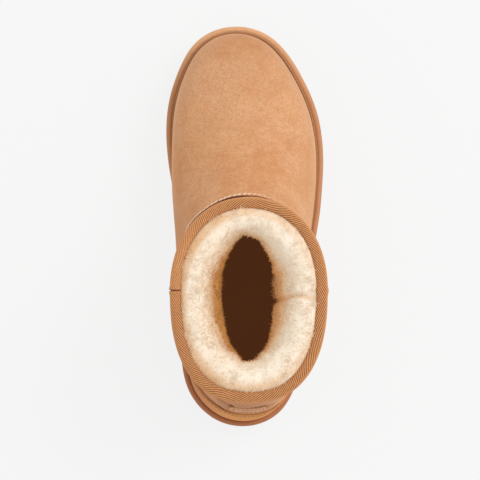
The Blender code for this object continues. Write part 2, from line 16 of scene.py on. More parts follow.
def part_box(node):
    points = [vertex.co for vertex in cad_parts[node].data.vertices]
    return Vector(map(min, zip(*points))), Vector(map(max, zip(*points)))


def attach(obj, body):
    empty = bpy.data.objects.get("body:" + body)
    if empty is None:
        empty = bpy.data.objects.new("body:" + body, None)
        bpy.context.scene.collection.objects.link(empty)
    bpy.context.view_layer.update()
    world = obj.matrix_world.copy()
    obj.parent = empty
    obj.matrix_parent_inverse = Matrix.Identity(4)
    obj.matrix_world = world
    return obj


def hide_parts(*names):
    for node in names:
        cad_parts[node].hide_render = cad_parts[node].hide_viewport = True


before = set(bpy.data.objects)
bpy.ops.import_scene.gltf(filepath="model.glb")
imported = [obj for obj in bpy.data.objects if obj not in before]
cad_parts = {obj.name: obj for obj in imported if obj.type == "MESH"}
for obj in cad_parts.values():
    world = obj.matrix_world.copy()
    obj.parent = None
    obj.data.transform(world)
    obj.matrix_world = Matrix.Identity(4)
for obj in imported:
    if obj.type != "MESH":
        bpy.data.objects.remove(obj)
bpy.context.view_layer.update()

bl_info = {
    "name": "Sheepskin boot",
    "version": (1, 0, 0),
    "blender": (4, 5, 0),
    "location": "3D View > Sidebar > Boot",
    "description": "Dresses the packed sheepskin boot with suede, wool, woven tape, seams and a foam sole",
    "category": "Object",
}

COLLAR_LOW, COLLAR_HIGH = (np.array(corner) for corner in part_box("collar_binding"))
COLLAR_CENTRE = (COLLAR_LOW + COLLAR_HIGH) / 2
COLLAR_EDGE = float(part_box("upper")[1][2])

# Soft troughs pressed into the suede: where each starts and ends round the shaft, in degrees from
# the toe towards the outer side, its heights there, its width and its depth.
CREASES = (
    # start, end, start height, end height, width, depth
    (30, 76, 0.0800, 0.0660, 0.0055, 0.0013),
    (-76, -34, 0.0680, 0.0820, 0.0055, 0.0013),
    (46, 84, 0.0940, 0.0860, 0.0060, 0.0008),
    (-84, -50, 0.0880, 0.0960, 0.0060, 0.0008),
    (100, 156, 0.0860, 0.0960, 0.0070, 0.0016),
    (-154, -102, 0.0980, 0.0880, 0.0070, 0.0016),
    (112, 148, 0.1120, 0.1180, 0.0080, 0.0010),
    (-142, -110, 0.1190, 0.1130, 0.0080, 0.0010),
    (152, 208, 0.0740, 0.0730, 0.0050, 0.0009),
    (174, 216, 0.0840, 0.1200, 0.0042, 0.0015),
    (158, 200, 0.0980, 0.0900, 0.0040, 0.0010),
)

# Sections of the collar tape: how far each row lies outside the collar's edge and over it.
TAPE_SECTION = (
    # outwards, over
    (0.00040, -0.00855),
    (0.00100, -0.00880),
    (0.00140, -0.00840),
    (0.00150, -0.00600),
    (0.00150, -0.00300),
    (0.00150, -0.00090),
    (0.00120, 0.00030),
    (0.00050, 0.00100),
    (-0.00080, 0.00145),
    (-0.00250, 0.00150),
    (-0.00400, 0.00125),
    (-0.00490, 0.00060),
    (-0.00510, -0.00030),
)

# The tape's hidden underside, from its inner end over the collar's edge and down to its lower end.
TAPE_BACK = (
    # outwards, over
    (-0.0044, -0.0002),
    (-0.0030, 0.0003),
    (-0.0010, 0.0003),
    (0.0006, 0.0001),
    (0.0004, -0.0080),
)

# Where the side seams push the tape out: heading in degrees, width in radians and how far.
TAPE_KINKS = (
    # heading, width, out
    (83.0, 0.045, 0.0005),
    (-83.0, 0.050, 0.0006),
)

# Patches of painted shade, laid softly darker over the suede where shade falls: the middle of each, its reach
# and its strength.
PAINTED_SHADE_PATCHES = (
    # x, y, z, reach, strength
    (0.000, 0.122, 0.030, 0.034, 0.44),
    (-0.046, -0.014, 0.045, 0.030, 0.70),
    (-0.010, -0.126, 0.082, 0.050, 0.90),
    (0.036, -0.100, 0.040, 0.034, 0.50),
)


# Raised seams: the node of each with its pieces' name, the ridge's width and height, and how far the thread
# lies over its middle.
SEAM_NODES = {
    "vamp_seam": "vamp_seam",
    "side_seam_lateral": "lateral_seam",
    "side_seam_medial": "medial_seam",
}
RIDGE_WIDTH = 0.0026
RIDGE_HEIGHT = 0.0014
THREAD_RISE = 0.00125

# Fields of tread grooves: where the middle of each lies along the sole, and its number of grooves.
TREAD_FIELDS = ((0.69, 7), (0.21, 4))

# Loose fibres: how deep their roots lie in the pile, and the lowest place where they grow.
ROOT_DEPTH = 0.0035
LOWEST_ROOT = 0.068


def number(name, description, default, **more):
    return FloatProperty(name=name, description=description, default=default, **more)


def whole(name, description, default, least, **more):
    return IntProperty(name=name, description=description, default=default, min=least, **more)


def metres(name, description, default):
    return number(name, description, default, min=0.0, unit="LENGTH", precision=5)


def tint(name, description, *levels):
    """A colour property. Its default is a screen colour, 0 to 255, made linear for the shaders."""
    shares = [level / 255 for level in levels]
    linear = [share / 12.92 if share <= 0.04045 else ((share + 0.055) / 1.055) ** 2.4 for share in shares]
    return FloatVectorProperty(
        name=name, description=description, default=linear, size=3, min=0.0, max=1.0, subtype="COLOR"
    )


class BootSuedeSettings(bpy.types.PropertyGroup):
    colour: tint("Suede", "Main colour of the suede", 219, 161, 112)
    patch: tint("Soft patches", "Colour of the darker soft patches", 192, 122, 76)
    pale: tint("Pale nap", "Colour where the nap lies flat", 228, 176, 136)
    # Painted shade: colour of the soft shade patches painted on the upper.
    darkened: tint("Painted shade patches", "Colour of the painted shade patches", 146, 76, 36)
    # Painted sheen: the pale colour where the skin bulges over the sole and light grazes it.
    edge: tint("Painted edge sheen", "Colour where the skin bulges over the sole", 244, 208, 172)
    patch_size: metres("Patch size", "Size of the soft patches", 0.021)
    nap_size: metres("Nap size", "Size of the finest grain of the nap", 0.00085)
    smoothness: whole("Smoothness", "Subdivision of the skin", 2, 1, max=3)


class BootSoleSettings(bpy.types.PropertyGroup):
    colour: tint("Foam", "Colour of the foam sole", 190, 132, 88)
    # Painted light and shade: the foam is paler towards the lit toe and darker towards the heel in the
    # shaft's shade.
    light: tint("Foam at the toe", "Colour of the foam towards the toe", 220, 168, 122)
    shadow: tint("Foam at the heel", "Colour of the foam towards the heel", 172, 106, 67)
    rim_inset: metres("Rim", "Width of the flat rim beside the upper", 0.00392)
    rim_round: metres("Rim round", "Radius of the rim's outer edge", 0.0020)
    under_round: metres("Lower round", "Radius of the sole's lower edge", 0.0030)
    groove_depth: metres("Side groove", "Depth of the groove round the side", 0.0011)
    tread_depth: metres("Tread depth", "Depth of the tread grooves", 0.0020)
    tread_width: metres("Tread width", "Width of the tread grooves", 0.0034)
    tread_pitch: metres("Tread pitch", "Distance between tread grooves", 0.0135)
    tread_point: metres("Tread point", "How far each groove points to the toe", 0.0070)
    columns: whole("Columns", "Faces between two corners of the outline", 8, 2)


class BootTapeSettings(bpy.types.PropertyGroup):
    colour: tint("Tape", "Colour of the woven tape", 226, 162, 106)
    # Painted shade: the dark colour between the ribs.
    furrow: tint("Furrows", "Colour between the ribs", 108, 52, 22)
    edge: tint("Outer edge", "Colour of the tape's outer edge", 218, 154, 100)
    rib_along: metres("Ribs along", "Distance between ribs along the tape", 0.0023)
    rib_across: metres("Ribs across", "Distance between ribs across the tape", 0.00125)
    rib_height: metres("Rib height", "Height of the ribs", 0.00034)
    join_gap: metres("Join", "Gap where the tape's two ends meet", 0.00042)


class BootWoolSettings(bpy.types.PropertyGroup):
    colour: tint("Wool", "Colour of the pile at the rim", 222, 214, 201)
    tip: tint("Yellowed wool", "Colour of the yellowed locks", 196, 138, 70)
    # Painted shade down the shaft's inside: darker golden on the inner side, lighter on the outer side where
    # more light falls.
    shaded: tint("Inner wall", "Colour of the pile down the shaft's inner side", 200, 148, 84)
    outer: tint("Outer wall", "Colour of the pile down the shaft's outer side", 250, 216, 168)
    # Painted light: the pile's emission glow stands in for light scattered through the wool.
    lit: tint("Shining through", "Colour of the light that shines through the pile", 250, 226, 186)
    # Painted shade: the pile and sock deep in the foot, where light does not reach.
    deep: tint("Wool in the foot", "Colour of the pile deep in the foot", 68, 38, 19)
    painted_glow: number("Light through the pile", "Share of light that shines through the pile", 0.17, min=0.0)
    voxel: metres("Voxel", "Grain of the pile's body", 0.0015)
    lock_size: metres("Lock size", "Size of the pile's locks", 0.0085)
    lock_height: metres("Lock height", "Height of the pile's locks", 0.0015)
    fibre_length: metres("Fibre", "Length of the loose fibres", 0.0054)
    fibre_width: metres("Fibre width", "Width of the loose fibres", 0.00036)
    fibres: whole("Fibres", "Fibres in each quarter of the collar", 28000, 100)


class BootSeamSettings(bpy.types.PropertyGroup):
    thread: tint("Thread", "Colour of the seam thread", 244, 210, 176)
    ridge: tint("Ridge", "Colour of the raised seams", 214, 158, 112)
    # Painted shadow: the dark colour in the gap beside the vamp seam's ridge.
    gap: tint("Gap", "Colour of the painted shadow in the gaps beside the seams", 92, 42, 24)
    pitch: metres("Stitch pitch", "Distance between stitches over a raised seam", 0.0031)
    thickness: metres("Thread thickness", "Thickness of the thread", 0.0009)
    sole_pitch: metres("Sole stitch pitch", "Distance between stitches beside the sole", 0.0019)


class BootHeelSettings(bpy.types.PropertyGroup):
    colour: tint("Heel patch", "Colour of the heel patch", 213, 144, 80)
    sides: tint("Patch sides", "Colour of the heel patch towards both sides", 180, 116, 76)
    tab: tint("Tab", "Colour of the blank tab", 196, 140, 100)
    row_inset: metres("Row inset", "Distance of the stitch row from a patch's edge", 0.0018)


class BootStageSettings(bpy.types.PropertyGroup):
    floor: tint("Floor", "Colour of the floor", 246, 246, 246)
    floor_size: metres("Floor size", "Width of the floor", 12.0)
    distance: metres("Camera distance", "Distance from the camera to its target", 1.3)
    tilt: number("Camera height", "Angle of the camera over the floor", math.radians(87), subtype="ANGLE")
    lens: number("Lens", "Focal length", 144.4, unit="CAMERA")
    target: FloatVectorProperty(
        name="Camera target", description="Point that the camera looks at", default=(-0.0032, -0.0098, 0.018),
        subtype="XYZ", unit="LENGTH"
    )
    sky: number("Soft light", "Strength of the soft light all round", 0.86, min=0.0)
    key: number("Key light", "Power of the large soft lamp", 13.0, min=0.0, unit="POWER")


# Mesh helpers


def ease(value, start, end):
    """0 before start and 1 after end, easing between them."""
    share = np.clip((value - start) / (end - start), 0.0, 1.0)
    return share * share * (3 - 2 * share)


def pick(thing=None):
    """Leaves only this object selected and active."""
    if bpy.context.object and bpy.context.object.mode != "OBJECT":
        bpy.ops.object.mode_set(mode="OBJECT")
    bpy.ops.object.select_all(action="DESELECT")
    if thing is not None:
        thing.select_set(True)
        bpy.context.view_layer.objects.active = thing
    return thing


def unit(rows):
    """Each row brought to length 1."""
    return rows / np.linalg.norm(rows, axis=1)[:, None]


def from_axis(points):
    """The level way from the collar's axis to each point."""
    return points[:, :2] - COLLAR_CENTRE[:2]


def headings(points):
    """The heading of each point from the collar's axis, from the toe towards the outer side."""
    away = from_axis(points)
    return np.arctan2(away[:, 0], away[:, 1])


def points_of(thing, what="co"):
    """The places of a mesh's points, or with what as normal their normals."""
    values = np.empty(len(thing.data.vertices) * 3, dtype=np.float32)
    thing.data.vertices.foreach_get(what, values)
    return values.reshape(-1, 3).astype(float)


def place_points(thing, points):
    thing.data.vertices.foreach_set("co", np.ascontiguousarray(points, dtype=np.float32).ravel())
    thing.data.update()


def node_corners(name):
    """The corners of a CAD node, each once."""
    return np.unique(np.round(points_of(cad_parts[name]), 6), axis=0)


def add_thing(name, mesh):
    thing = bpy.data.objects.new(name, mesh)
    bpy.context.scene.collection.objects.link(thing)
    return thing


def apply_modifier(thing, kind, **settings):
    pick(thing)
    modifier = thing.modifiers.new(kind.lower(), kind)
    for name, value in settings.items():
        setattr(modifier, name, value)
    bpy.ops.object.modifier_apply(modifier=modifier.name)


def edit_mesh(thing, action, edges=False):
    """Opens a mesh for editing with all of it selected or none."""
    pick(thing)
    bpy.ops.object.mode_set(mode="EDIT")
    bpy.ops.mesh.select_all(action=action)
    if edges:
        bpy.ops.mesh.select_mode(type="EDGE")


def tidy_faces(thing, merge, turn=False):
    """Merges doubles, and with turn makes the faces point outwards."""
    edit_mesh(thing, "SELECT")
    bpy.ops.mesh.remove_doubles(threshold=merge)
    if turn:
        bpy.ops.mesh.normals_make_consistent(inside=False)
    bpy.ops.object.mode_set(mode="OBJECT")


def seal(thing, ends=True):
    """Merges doubles, closes every open edge loop with a face if asked, and turns the faces outwards."""
    tidy_faces(thing, 1e-6)
    if ends:
        edit_mesh(thing, "DESELECT", edges=True)
        bpy.ops.mesh.select_non_manifold(extend=False)
        bpy.ops.mesh.edge_face_add()
        bpy.ops.mesh.select_mode(type="VERT")
        bpy.ops.object.mode_set(mode="OBJECT")
    tidy_faces(thing, 1e-7, turn=True)


def copy_node(node, name, levels, hold=50):
    """A copy of a CAD node in quads, smoothed by subdivision, with edges sharper than hold degrees kept."""
    thing = add_thing(name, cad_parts[node].data.copy())
    thing.data.materials.clear()
    pick(thing)
    bpy.ops.mesh.customdata_custom_splitnormals_clear()
    edit_mesh(thing, "SELECT")
    bpy.ops.mesh.remove_doubles(threshold=1e-6)
    bpy.ops.mesh.tris_convert_to_quads(face_threshold=math.radians(50), shape_threshold=math.radians(60))
    edit_mesh(thing, "DESELECT", edges=True)
    bpy.ops.mesh.edges_select_sharp(sharpness=math.radians(hold))
    bpy.ops.transform.edge_crease(value=0.8)
    bpy.ops.mesh.select_mode(type="VERT")
    bpy.ops.object.mode_set(mode="OBJECT")
    if levels:
        apply_modifier(thing, "SUBSURF", levels=levels, render_levels=levels)
    return thing


def shaped_grid(name, points, round_rows=False, round_columns=False):
    """A grid laid over rows and columns of points, closed up where these run full circle."""
    points = np.asarray(points, float)
    if round_rows:
        points = np.concatenate([points, points[:1]], axis=0)
    if round_columns:
        points = np.concatenate([points, points[:, :1]], axis=1)
    rows, columns = points.shape[:2]
    pick()
    bpy.ops.mesh.primitive_grid_add(x_subdivisions=columns - 1, y_subdivisions=rows - 1, size=1.0)
    thing = bpy.context.object
    thing.name = name
    place_points(thing, points.reshape(-1, 3))
    return thing


def finish_piece(thing, material, slot, *nodes, angle=None):
    """Gives a piece its material, smooth shading and body, and hides the CAD nodes it stands for."""
    thing.data.materials.clear()
    thing.data.materials.append(material)
    pick(thing)
    if angle is None:
        bpy.ops.object.shade_smooth()
    else:
        bpy.ops.object.shade_smooth_by_angle(angle=math.radians(angle))
    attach(thing, "root")
    if nodes:
        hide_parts(*nodes)


def add_mask(thing, name, values):
    layer = thing.data.attributes.new(name, "FLOAT", "POINT")
    layer.data.foreach_set("value", np.asarray(values, dtype=np.float32))


def tree_of(thing):
    corners = [vertex.co for vertex in thing.data.vertices]
    return BVHTree.FromPolygons(corners, [face.vertices for face in thing.data.polygons])


def skin_tree():
    return tree_of(bpy.data.objects["suede_upper"])


def lay_on(tree, points, lift=0.0):
    """The nearest places on a surface, lifted off it, and its normals there."""
    places = []
    normals = []
    for point in points:
        place, normal, _, _ = tree.find_nearest(Vector(point))
        places.append(place + normal * lift)
        normals.append(normal)
    return np.array(places), np.array(normals)


def even_path(points, count, closed=False):
    """The path through the points, read at evenly spaced places, and its length."""
    points = np.asarray(points, float)
    if closed:
        points = np.concatenate([points, points[:1]])
    along = lengths_along(points)
    wanted = np.linspace(0, along[-1], count, endpoint=not closed)
    return np.stack([np.interp(wanted, along, points[:, i]) for i in range(3)], axis=1), along[-1]


def lengths_along(points):
    """The way from the start of a path to each of its points."""
    steps = np.linalg.norm(np.diff(points, axis=0), axis=1)
    return np.concatenate([[0.0], np.cumsum(steps)])


def along_and_left(path):
    """The directions along a closed path, and to its left in plan."""
    along = unit(np.roll(path, -1, axis=0) - np.roll(path, 1, axis=0))
    left = np.zeros_like(along)
    left[:, 0] = -along[:, 1]
    left[:, 1] = along[:, 0]
    return along, left


def rounded_path(points, times=3):
    """An open path with its corners softened and its ends kept."""
    points = np.array(points, float)
    for _ in range(times):
        points[1:-1] = points[1:-1] / 2 + (points[:-2] + points[2:]) / 4
    return points


def through_corners(corners, steps):
    """A closed smooth curve through the corners, with steps places from each corner to the next."""
    before, after, second = (np.roll(corners, by, axis=0) for by in (1, -1, -2))
    rows = []
    for t in np.arange(steps) / steps:
        square = (2 * before - 5 * corners + 4 * after - second) * t**2
        cube = (3 * corners - before - 3 * after + second) * t**3
        rows.append(0.5 * (2 * corners + (after - before) * t + square + cube))
    return np.stack(rows, axis=1).reshape(-1, corners.shape[1])


# Materials


def give(tree, socket, value):
    """Links a value that is a socket and sets any other."""
    if isinstance(value, bpy.types.NodeSocket):
        tree.links.new(value, socket)
    else:
        socket.default_value = value


def node(tree, kind, inputs=None, **settings):
    """Adds a shader node with its inputs."""
    made = tree.nodes.new(kind)
    for name, value in settings.items():
        setattr(made, name, value)
    for name, value in (inputs or {}).items():
        give(tree, made.inputs[name], value)
    return made


def dim(colour, share):
    return tuple(part * share for part in colour)


def blend_colour(tree, factor, first, second, blend_type="MIX"):
    made = node(tree, "ShaderNodeMix", data_type="RGBA", blend_type=blend_type)
    give(tree, made.inputs[0], factor)
    for index, value in ((6, first), (7, second)):
        give(tree, made.inputs[index], value if isinstance(value, bpy.types.NodeSocket) else (*value, 1.0))
    return made.outputs[2]


def coat(tree, main, *layers):
    """Lays colours over the main one, each by its mask, its strength and its way of blending if given."""
    for mask, strength, colour, *way in layers:
        factor = mask if strength == 1 else times(tree, mask, strength)
        main = blend_colour(tree, factor, main, colour, *way)
    return main


def sum_of(tree, operation, *values):
    made = node(tree, "ShaderNodeMath", operation=operation)
    for index, value in enumerate(values):
        give(tree, made.inputs[index], value)
    return made.outputs[0]


def times(tree, first, second):
    return sum_of(tree, "MULTIPLY", first, second)


def spread(tree, value, low, high, to_low=0.0, to_high=1.0):
    """Spreads a value from low and high to two new ends, clamped."""
    ends = {"Value": value, "From Min": low, "From Max": high, "To Min": to_low, "To Max": to_high}
    return node(tree, "ShaderNodeMapRange", ends).outputs["Result"]


def noise_of(tree, place, scale, detail, **more):
    values = {"Vector": place, "Scale": scale, "Detail": detail, **more}
    return node(tree, "ShaderNodeTexNoise", values).outputs[0]


def new_group(name, inputs, *outputs):
    """A node group with its inputs' defaults, None for a vector, and the names of the values it gives."""
    group = bpy.data.node_groups.new(name, "ShaderNodeTree")
    for label, default in inputs.items():
        kind = "NodeSocketVector" if default is None else "NodeSocketFloat"
        socket = group.interface.new_socket(label, in_out="INPUT", socket_type=kind)
        if default is not None:
            socket.default_value = default
    for label in outputs:
        group.interface.new_socket(label, in_out="OUTPUT", socket_type="NodeSocketFloat")
    given = group.nodes.new("NodeGroupInput").outputs
    return group, given, group.nodes.new("NodeGroupOutput").inputs


def soft_patches_group(name):
    """Soft cloudy patches in two sizes: a mask from 0 to 1."""
    group, given, out = new_group(name, {"Vector": None, "Scale": 60.0, "Contrast": 1.0}, "Mask")
    large = noise_of(group, given["Vector"], given["Scale"], 3.0)
    small = noise_of(group, given["Vector"], times(group, given["Scale"], 3.7), 4.0)
    centred = sum_of(group, "SUBTRACT", sum_of(group, "ADD", large, small), 1.0)
    mask = sum_of(group, "ADD", times(group, centred, given["Contrast"]), 0.5)
    group.links.new(spread(group, mask, 0.0, 1.0), out["Mask"])
    return group


def nap_group(name):
    """Fine grain: a height, and specks where the grain stands up."""
    group, given, out = new_group(name, {"Vector": None, "Scale": 1400.0}, "Height", "Specks")
    fine = noise_of(group, given["Vector"], given["Scale"], 3.0, Roughness=0.6)
    coarse = noise_of(group, given["Vector"], times(group, given["Scale"], 0.34), 2.0)
    height = sum_of(group, "MULTIPLY_ADD", coarse, 0.4, fine)
    group.links.new(height, out["Height"])
    group.links.new(spread(group, height, 0.58, 0.90), out["Specks"])
    return group


def ribs_group(name):
    """Slanting ribs on a UV map in metres: a height from 0 to 1."""
    group, given, out = new_group(name, {"UV": None, "Along": 0.0023, "Across": 0.00125}, "Height")
    split = parts_of(group, given["UV"])
    along = sum_of(group, "DIVIDE", split["X"], given["Along"])
    across = sum_of(group, "DIVIDE", split["Y"], given["Across"])
    wave = sum_of(group, "SINE", times(group, sum_of(group, "ADD", along, across), math.tau))
    group.links.new(sum_of(group, "MULTIPLY_ADD", wave, 0.5, 0.5), out["Height"])
    return group


def use_group(tree, name, **values):
    """Adds a shared group, which is made when it is first asked for."""
    made = tree.nodes.new("ShaderNodeGroup")
    makers = {"Soft patches": soft_patches_group, "Nap": nap_group, "Twill ribs": ribs_group}
    made.node_tree = bpy.data.node_groups.get(name) or makers[name](name)
    for label, value in values.items():
        give(tree, made.inputs[label], value)
    return made.outputs


def patches(tree, place, scale, contrast):
    return use_group(tree, "Soft patches", Vector=place, Scale=scale, Contrast=contrast)["Mask"]


def grain(tree, place, scale):
    return use_group(tree, "Nap", Vector=place, Scale=scale)


def parts_of(tree, place):
    return node(tree, "ShaderNodeSeparateXYZ", {"Vector": place}).outputs


def start_material(name, roughness, sheen=0.0, sheen_tint=(1.0, 1.0, 1.0), specular=0.3):
    material = bpy.data.materials.new(name)
    material.use_nodes = True
    tree = material.node_tree
    shader = tree.nodes["Principled BSDF"].inputs
    shader["Roughness"].default_value = roughness
    shader["Specular IOR Level"].default_value = specular
    shader["Sheen Weight"].default_value = sheen
    shader["Sheen Roughness"].default_value = 0.45
    shader["Sheen Tint"].default_value = (*sheen_tint, 1.0)
    return material, tree, shader, node(tree, "ShaderNodeTexCoord").outputs["Object"]


def add_bump(tree, shader, height, distance, strength):
    bump = node(tree, "ShaderNodeBump", {"Height": height, "Distance": distance, "Strength": strength})
    tree.links.new(bump.outputs["Normal"], shader["Normal"])


def read_mask(tree, name):
    return node(tree, "ShaderNodeAttribute", attribute_name=name).outputs["Fac"]


def suede_material(name, colour, patch, pale, patch_scale=1.0, nap_scale=1.0, darkened=None, edge=None):
    """Brushed suede: soft cloudy patches, brushed flecks, fine nap specks and a pale sheen."""
    suede = bpy.context.scene.boot_suede
    size = suede.patch_size * patch_scale
    material, tree, shader, place = start_material(name, 0.92, 0.65, pale)
    soft = patches(tree, place, 1 / size, 1.9)
    nap = grain(tree, place, 1 / (suede.nap_size * nap_scale))
    layers = [(soft, 0.55, patch), (patches(tree, place, 0.36 / size, 2.6), 0.62, pale)]
    # On the upper the first mask is painted shade and the second a painted sheen along the skin's bulge over
    # the sole; on the heel patch the first mask darkens its sides.
    if darkened is not None:
        layers += [(read_mask(tree, "darkened"), 1, darkened), (read_mask(tree, "wear_and_sheen"), 0.6, edge)]
    layers.append((patches(tree, place, 26.0 / size, 2.2), 0.38, dim(colour, 0.66)))
    layers.append((nap["Specks"], 0.58, dim(colour, 0.5)))
    tree.links.new(coat(tree, colour, *layers), shader["Base Color"])
    tree.links.new(spread(tree, soft, 0.0, 1.0, 0.86, 0.98), shader["Roughness"])
    add_bump(tree, shader, nap["Height"], 0.00022, 0.8)
    return material


def foam_material():
    """Soft closed-cell foam: a pebbled skin, darker towards the heel and at its foot as painted shade, paler
    at the toe as painted light.
    """
    sole = bpy.context.scene.boot_sole
    material, tree, shader, place = start_material("foam sole", 0.62, specular=0.4)
    split = parts_of(tree, place)
    soft = patches(tree, place, 90.0, 1.2)
    main = coat(
        tree, sole.colour,
        # Painted shade towards the heel and at the foot, painted light towards the toe.
        (spread(tree, split["Y"], 0.02, -0.10), 1, sole.shadow),
        (spread(tree, split["Y"], 0.085, 0.134), 1, sole.light),
        (soft, 0.30, dim(sole.colour, 0.72)),
        (spread(tree, split["Z"], 0.004, 0.0), 0.35, dim(sole.shadow, 0.5)),
    )
    tree.links.new(main, shader["Base Color"])
    values = {"Vector": place, "Scale": 900.0, "Randomness": 0.9}
    pebbles = node(tree, "ShaderNodeTexVoronoi", values, feature="SMOOTH_F1").outputs["Distance"]
    height = sum_of(tree, "MULTIPLY_ADD", grain(tree, place, 2200.0)["Height"], 0.25, pebbles)
    tree.links.new(spread(tree, soft, 0.0, 1.0, 0.55, 0.72), shader["Roughness"])
    add_bump(tree, shader, height, 0.0003, 0.6)
    return material


def wool_material(name, fibres=False):
    """Cream pile: yellowed locks, painted shade that turns it tan down the shaft and dark in the foot, and a
    painted glow.
    """
    wool = bpy.context.scene.boot_wool
    material, tree, shader, place = start_material(name, 1.0, 0.10, (1.0, 0.95, 0.86), 0.1)
    split = parts_of(tree, place)
    soft = patches(tree, place, 115.0, 1.5)
    wide = patches(tree, place, 34.0, 2.0)
    uneven = sum_of(tree, "MULTIPLY_ADD", soft, 0.010, split["Z"])
    cloudy = times(tree, times(tree, soft, wide), 0.22)
    yellow = sum_of(tree, "MAXIMUM", cloudy, times(tree, read_mask(tree, "yellowed"), 0.95))
    # Painted shade: the pile turns tan down the shaft, starting higher on the inner side, and dark in the
    # foot.
    inner = spread(tree, split["X"], 0.0, -0.016, 0.0, 0.009)
    to_shaft = spread(tree, sum_of(tree, "SUBTRACT", uneven, inner), 0.150, 0.122)
    to_foot = spread(tree, uneven, 0.108, 0.078)
    walls = blend_colour(tree, spread(tree, split["X"], -0.008, 0.018), wool.shaded, wool.outer)
    layers = [
        (yellow, 1, wool.tip), (grain(tree, place, 520.0)["Specks"], 0.09, wool.tip),
        (to_shaft, 1, walls), (to_foot, 1, wool.deep),
    ]
    if fibres:
        layers.append((read_mask(tree, "strand"), 0.24, wool.tip, "MULTIPLY"))
        # Painted shade: each fibre darker towards its root, deep in the pile.
        layers.append((spread(tree, read_mask(tree, "tip"), 0.9, 0.2, 0.0, 0.30), 1, wool.tip, "MULTIPLY"))
    tree.links.new(coat(tree, wool.colour, *layers), shader["Base Color"])
    # Painted light: an emission glow on the pile, dimmer down the shaft and dark in the foot.
    through = dim(wool.lit, wool.painted_glow)
    painted_glow = coat(tree, through, (to_shaft, 1, dim(wool.shaded, wool.painted_glow * 0.5)), (to_foot, 1, wool.deep))
    tree.links.new(painted_glow, shader["Emission Color"])
    shader["Emission Strength"].default_value = 1.0
    add_bump(tree, shader, grain(tree, place, 650.0)["Height"], 0.0004, 0.1 if fibres else 0.2)
    return material


def tape_material():
    """Woven twill: pale slanting ribs, furrows painted brown as shade between them, and a bright outer edge.
    """
    tape = bpy.context.scene.boot_tape
    material, tree, shader, place = start_material("woven tape", 0.88, 0.12, tape.edge)
    uv = node(tree, "ShaderNodeUVMap", uv_map="woven").outputs["UV"]
    ribs = use_group(tree, "Twill ribs", UV=uv, Along=tape.rib_along, Across=tape.rib_across)["Height"]
    nap = grain(tree, place, 1500.0)
    wear_and_sheen = times(tree, read_mask(tree, "wear_and_sheen"), 0.60)
    threads = sum_of(tree, "MAXIMUM", spread(tree, ribs, 0.20, 0.80), wear_and_sheen)
    main = coat(
        tree, tape.furrow,
        (threads, 1, tape.colour),
        (patches(tree, place, 120.0, 1.2), 0.30, dim(tape.colour, 0.78)),
        (read_mask(tree, "outer_edge"), 0.6, tape.edge),
        (nap["Specks"], 0.25, tape.furrow),
        # Painted shade in the narrow gap where the tape's ends meet.
        (read_mask(tree, "join"), 0.8, dim(tape.furrow, 0.6)),
    )
    tree.links.new(main, shader["Base Color"])
    add_bump(tree, shader, sum_of(tree, "MULTIPLY_ADD", nap["Height"], 0.25, ribs), 0.0002, 0.7)
    return material


def thread_material(name, colour, outer=None):
    """Twisted thread with fine strands, and with outer given another colour towards the outer side."""
    material, tree, shader, place = start_material(name, 0.75, 0.2)
    nap = grain(tree, place, 2600.0)
    layers = [(nap["Specks"], 0.5, dim(colour, 0.6))]
    if outer is not None:
        layers.insert(0, (spread(tree, parts_of(tree, place)["X"], 0.002, 0.018), 1, outer))
    tree.links.new(coat(tree, colour, *layers), shader["Base Color"])
    add_bump(tree, shader, nap["Height"], 0.0001, 0.7)
    return material


# Boot pieces


def collar_outline(count=720):
    """The collar's outer edge, from the toe round the outer side: where level rays meet the skin."""
    tree = skin_tree()
    height = COLLAR_EDGE - 0.0012
    places = []
    for angle in np.linspace(0, math.tau, count, endpoint=False):
        away = Vector((math.sin(angle), math.cos(angle), 0.0))
        start = Vector((COLLAR_CENTRE[0], COLLAR_CENTRE[1], height)) + away * 0.4
        places.append(tree.ray_cast(start, -away)[0])
    places = np.array(places)
    waves = np.fft.rfft(places[:, :2], axis=0)
    waves[26:] = 0
    places[:, :2] = np.fft.irfft(waves, count, axis=0)
    return places


def add_creases(thing):
    """Presses the soft troughs into the suede, each with a low ridge on both sides."""
    points = points_of(thing)
    outwards = unit(from_axis(points))
    angles = np.degrees(headings(points))
    for start, end, low, high, width, depth in CREASES:
        share = ((angles - start) % 360) / (end - start)
        middle = low + (high - low) * share
        fade = ease(share, 0.0, 0.35) * (1 - ease(share, 0.65, 1.0))
        across = (points[:, 2] - middle) / width
        press = depth * fade * (np.exp(-(across**2)) - 0.45 * np.exp(-((np.abs(across) - 1.7) ** 2)))
        points[:, :2] -= outwards * press[:, None]
    place_points(thing, points)


def ridge_path(name):
    """The middle line of a raised seam's CAD node, whose sections have six corners each."""
    corners = node_corners(name)
    order = np.argsort(headings(corners) if name == "vamp_seam" else corners[:, 2])
    return corners[order].reshape(-1, 6, 3).mean(axis=1)


def stitch_shape(length, width, height, name):
    """One stitch: a small rounded bar, thinner at both ends."""
    pick()
    lying = (0.0, math.pi / 2, 0.0)
    bpy.ops.mesh.primitive_uv_sphere_add(segments=6, ring_count=7, radius=0.5, rotation=lying)
    bpy.ops.object.transform_apply(location=True, rotation=True, scale=True)
    thing = bpy.context.object
    thing.name = name
    points = points_of(thing)
    points[:, 0] = np.sign(points[:, 0]) * np.abs(points[:, 0] * 2) ** 0.8 * length / 2
    points[:, 1] *= width
    points[:, 2] *= height
    place_points(thing, points)
    return thing


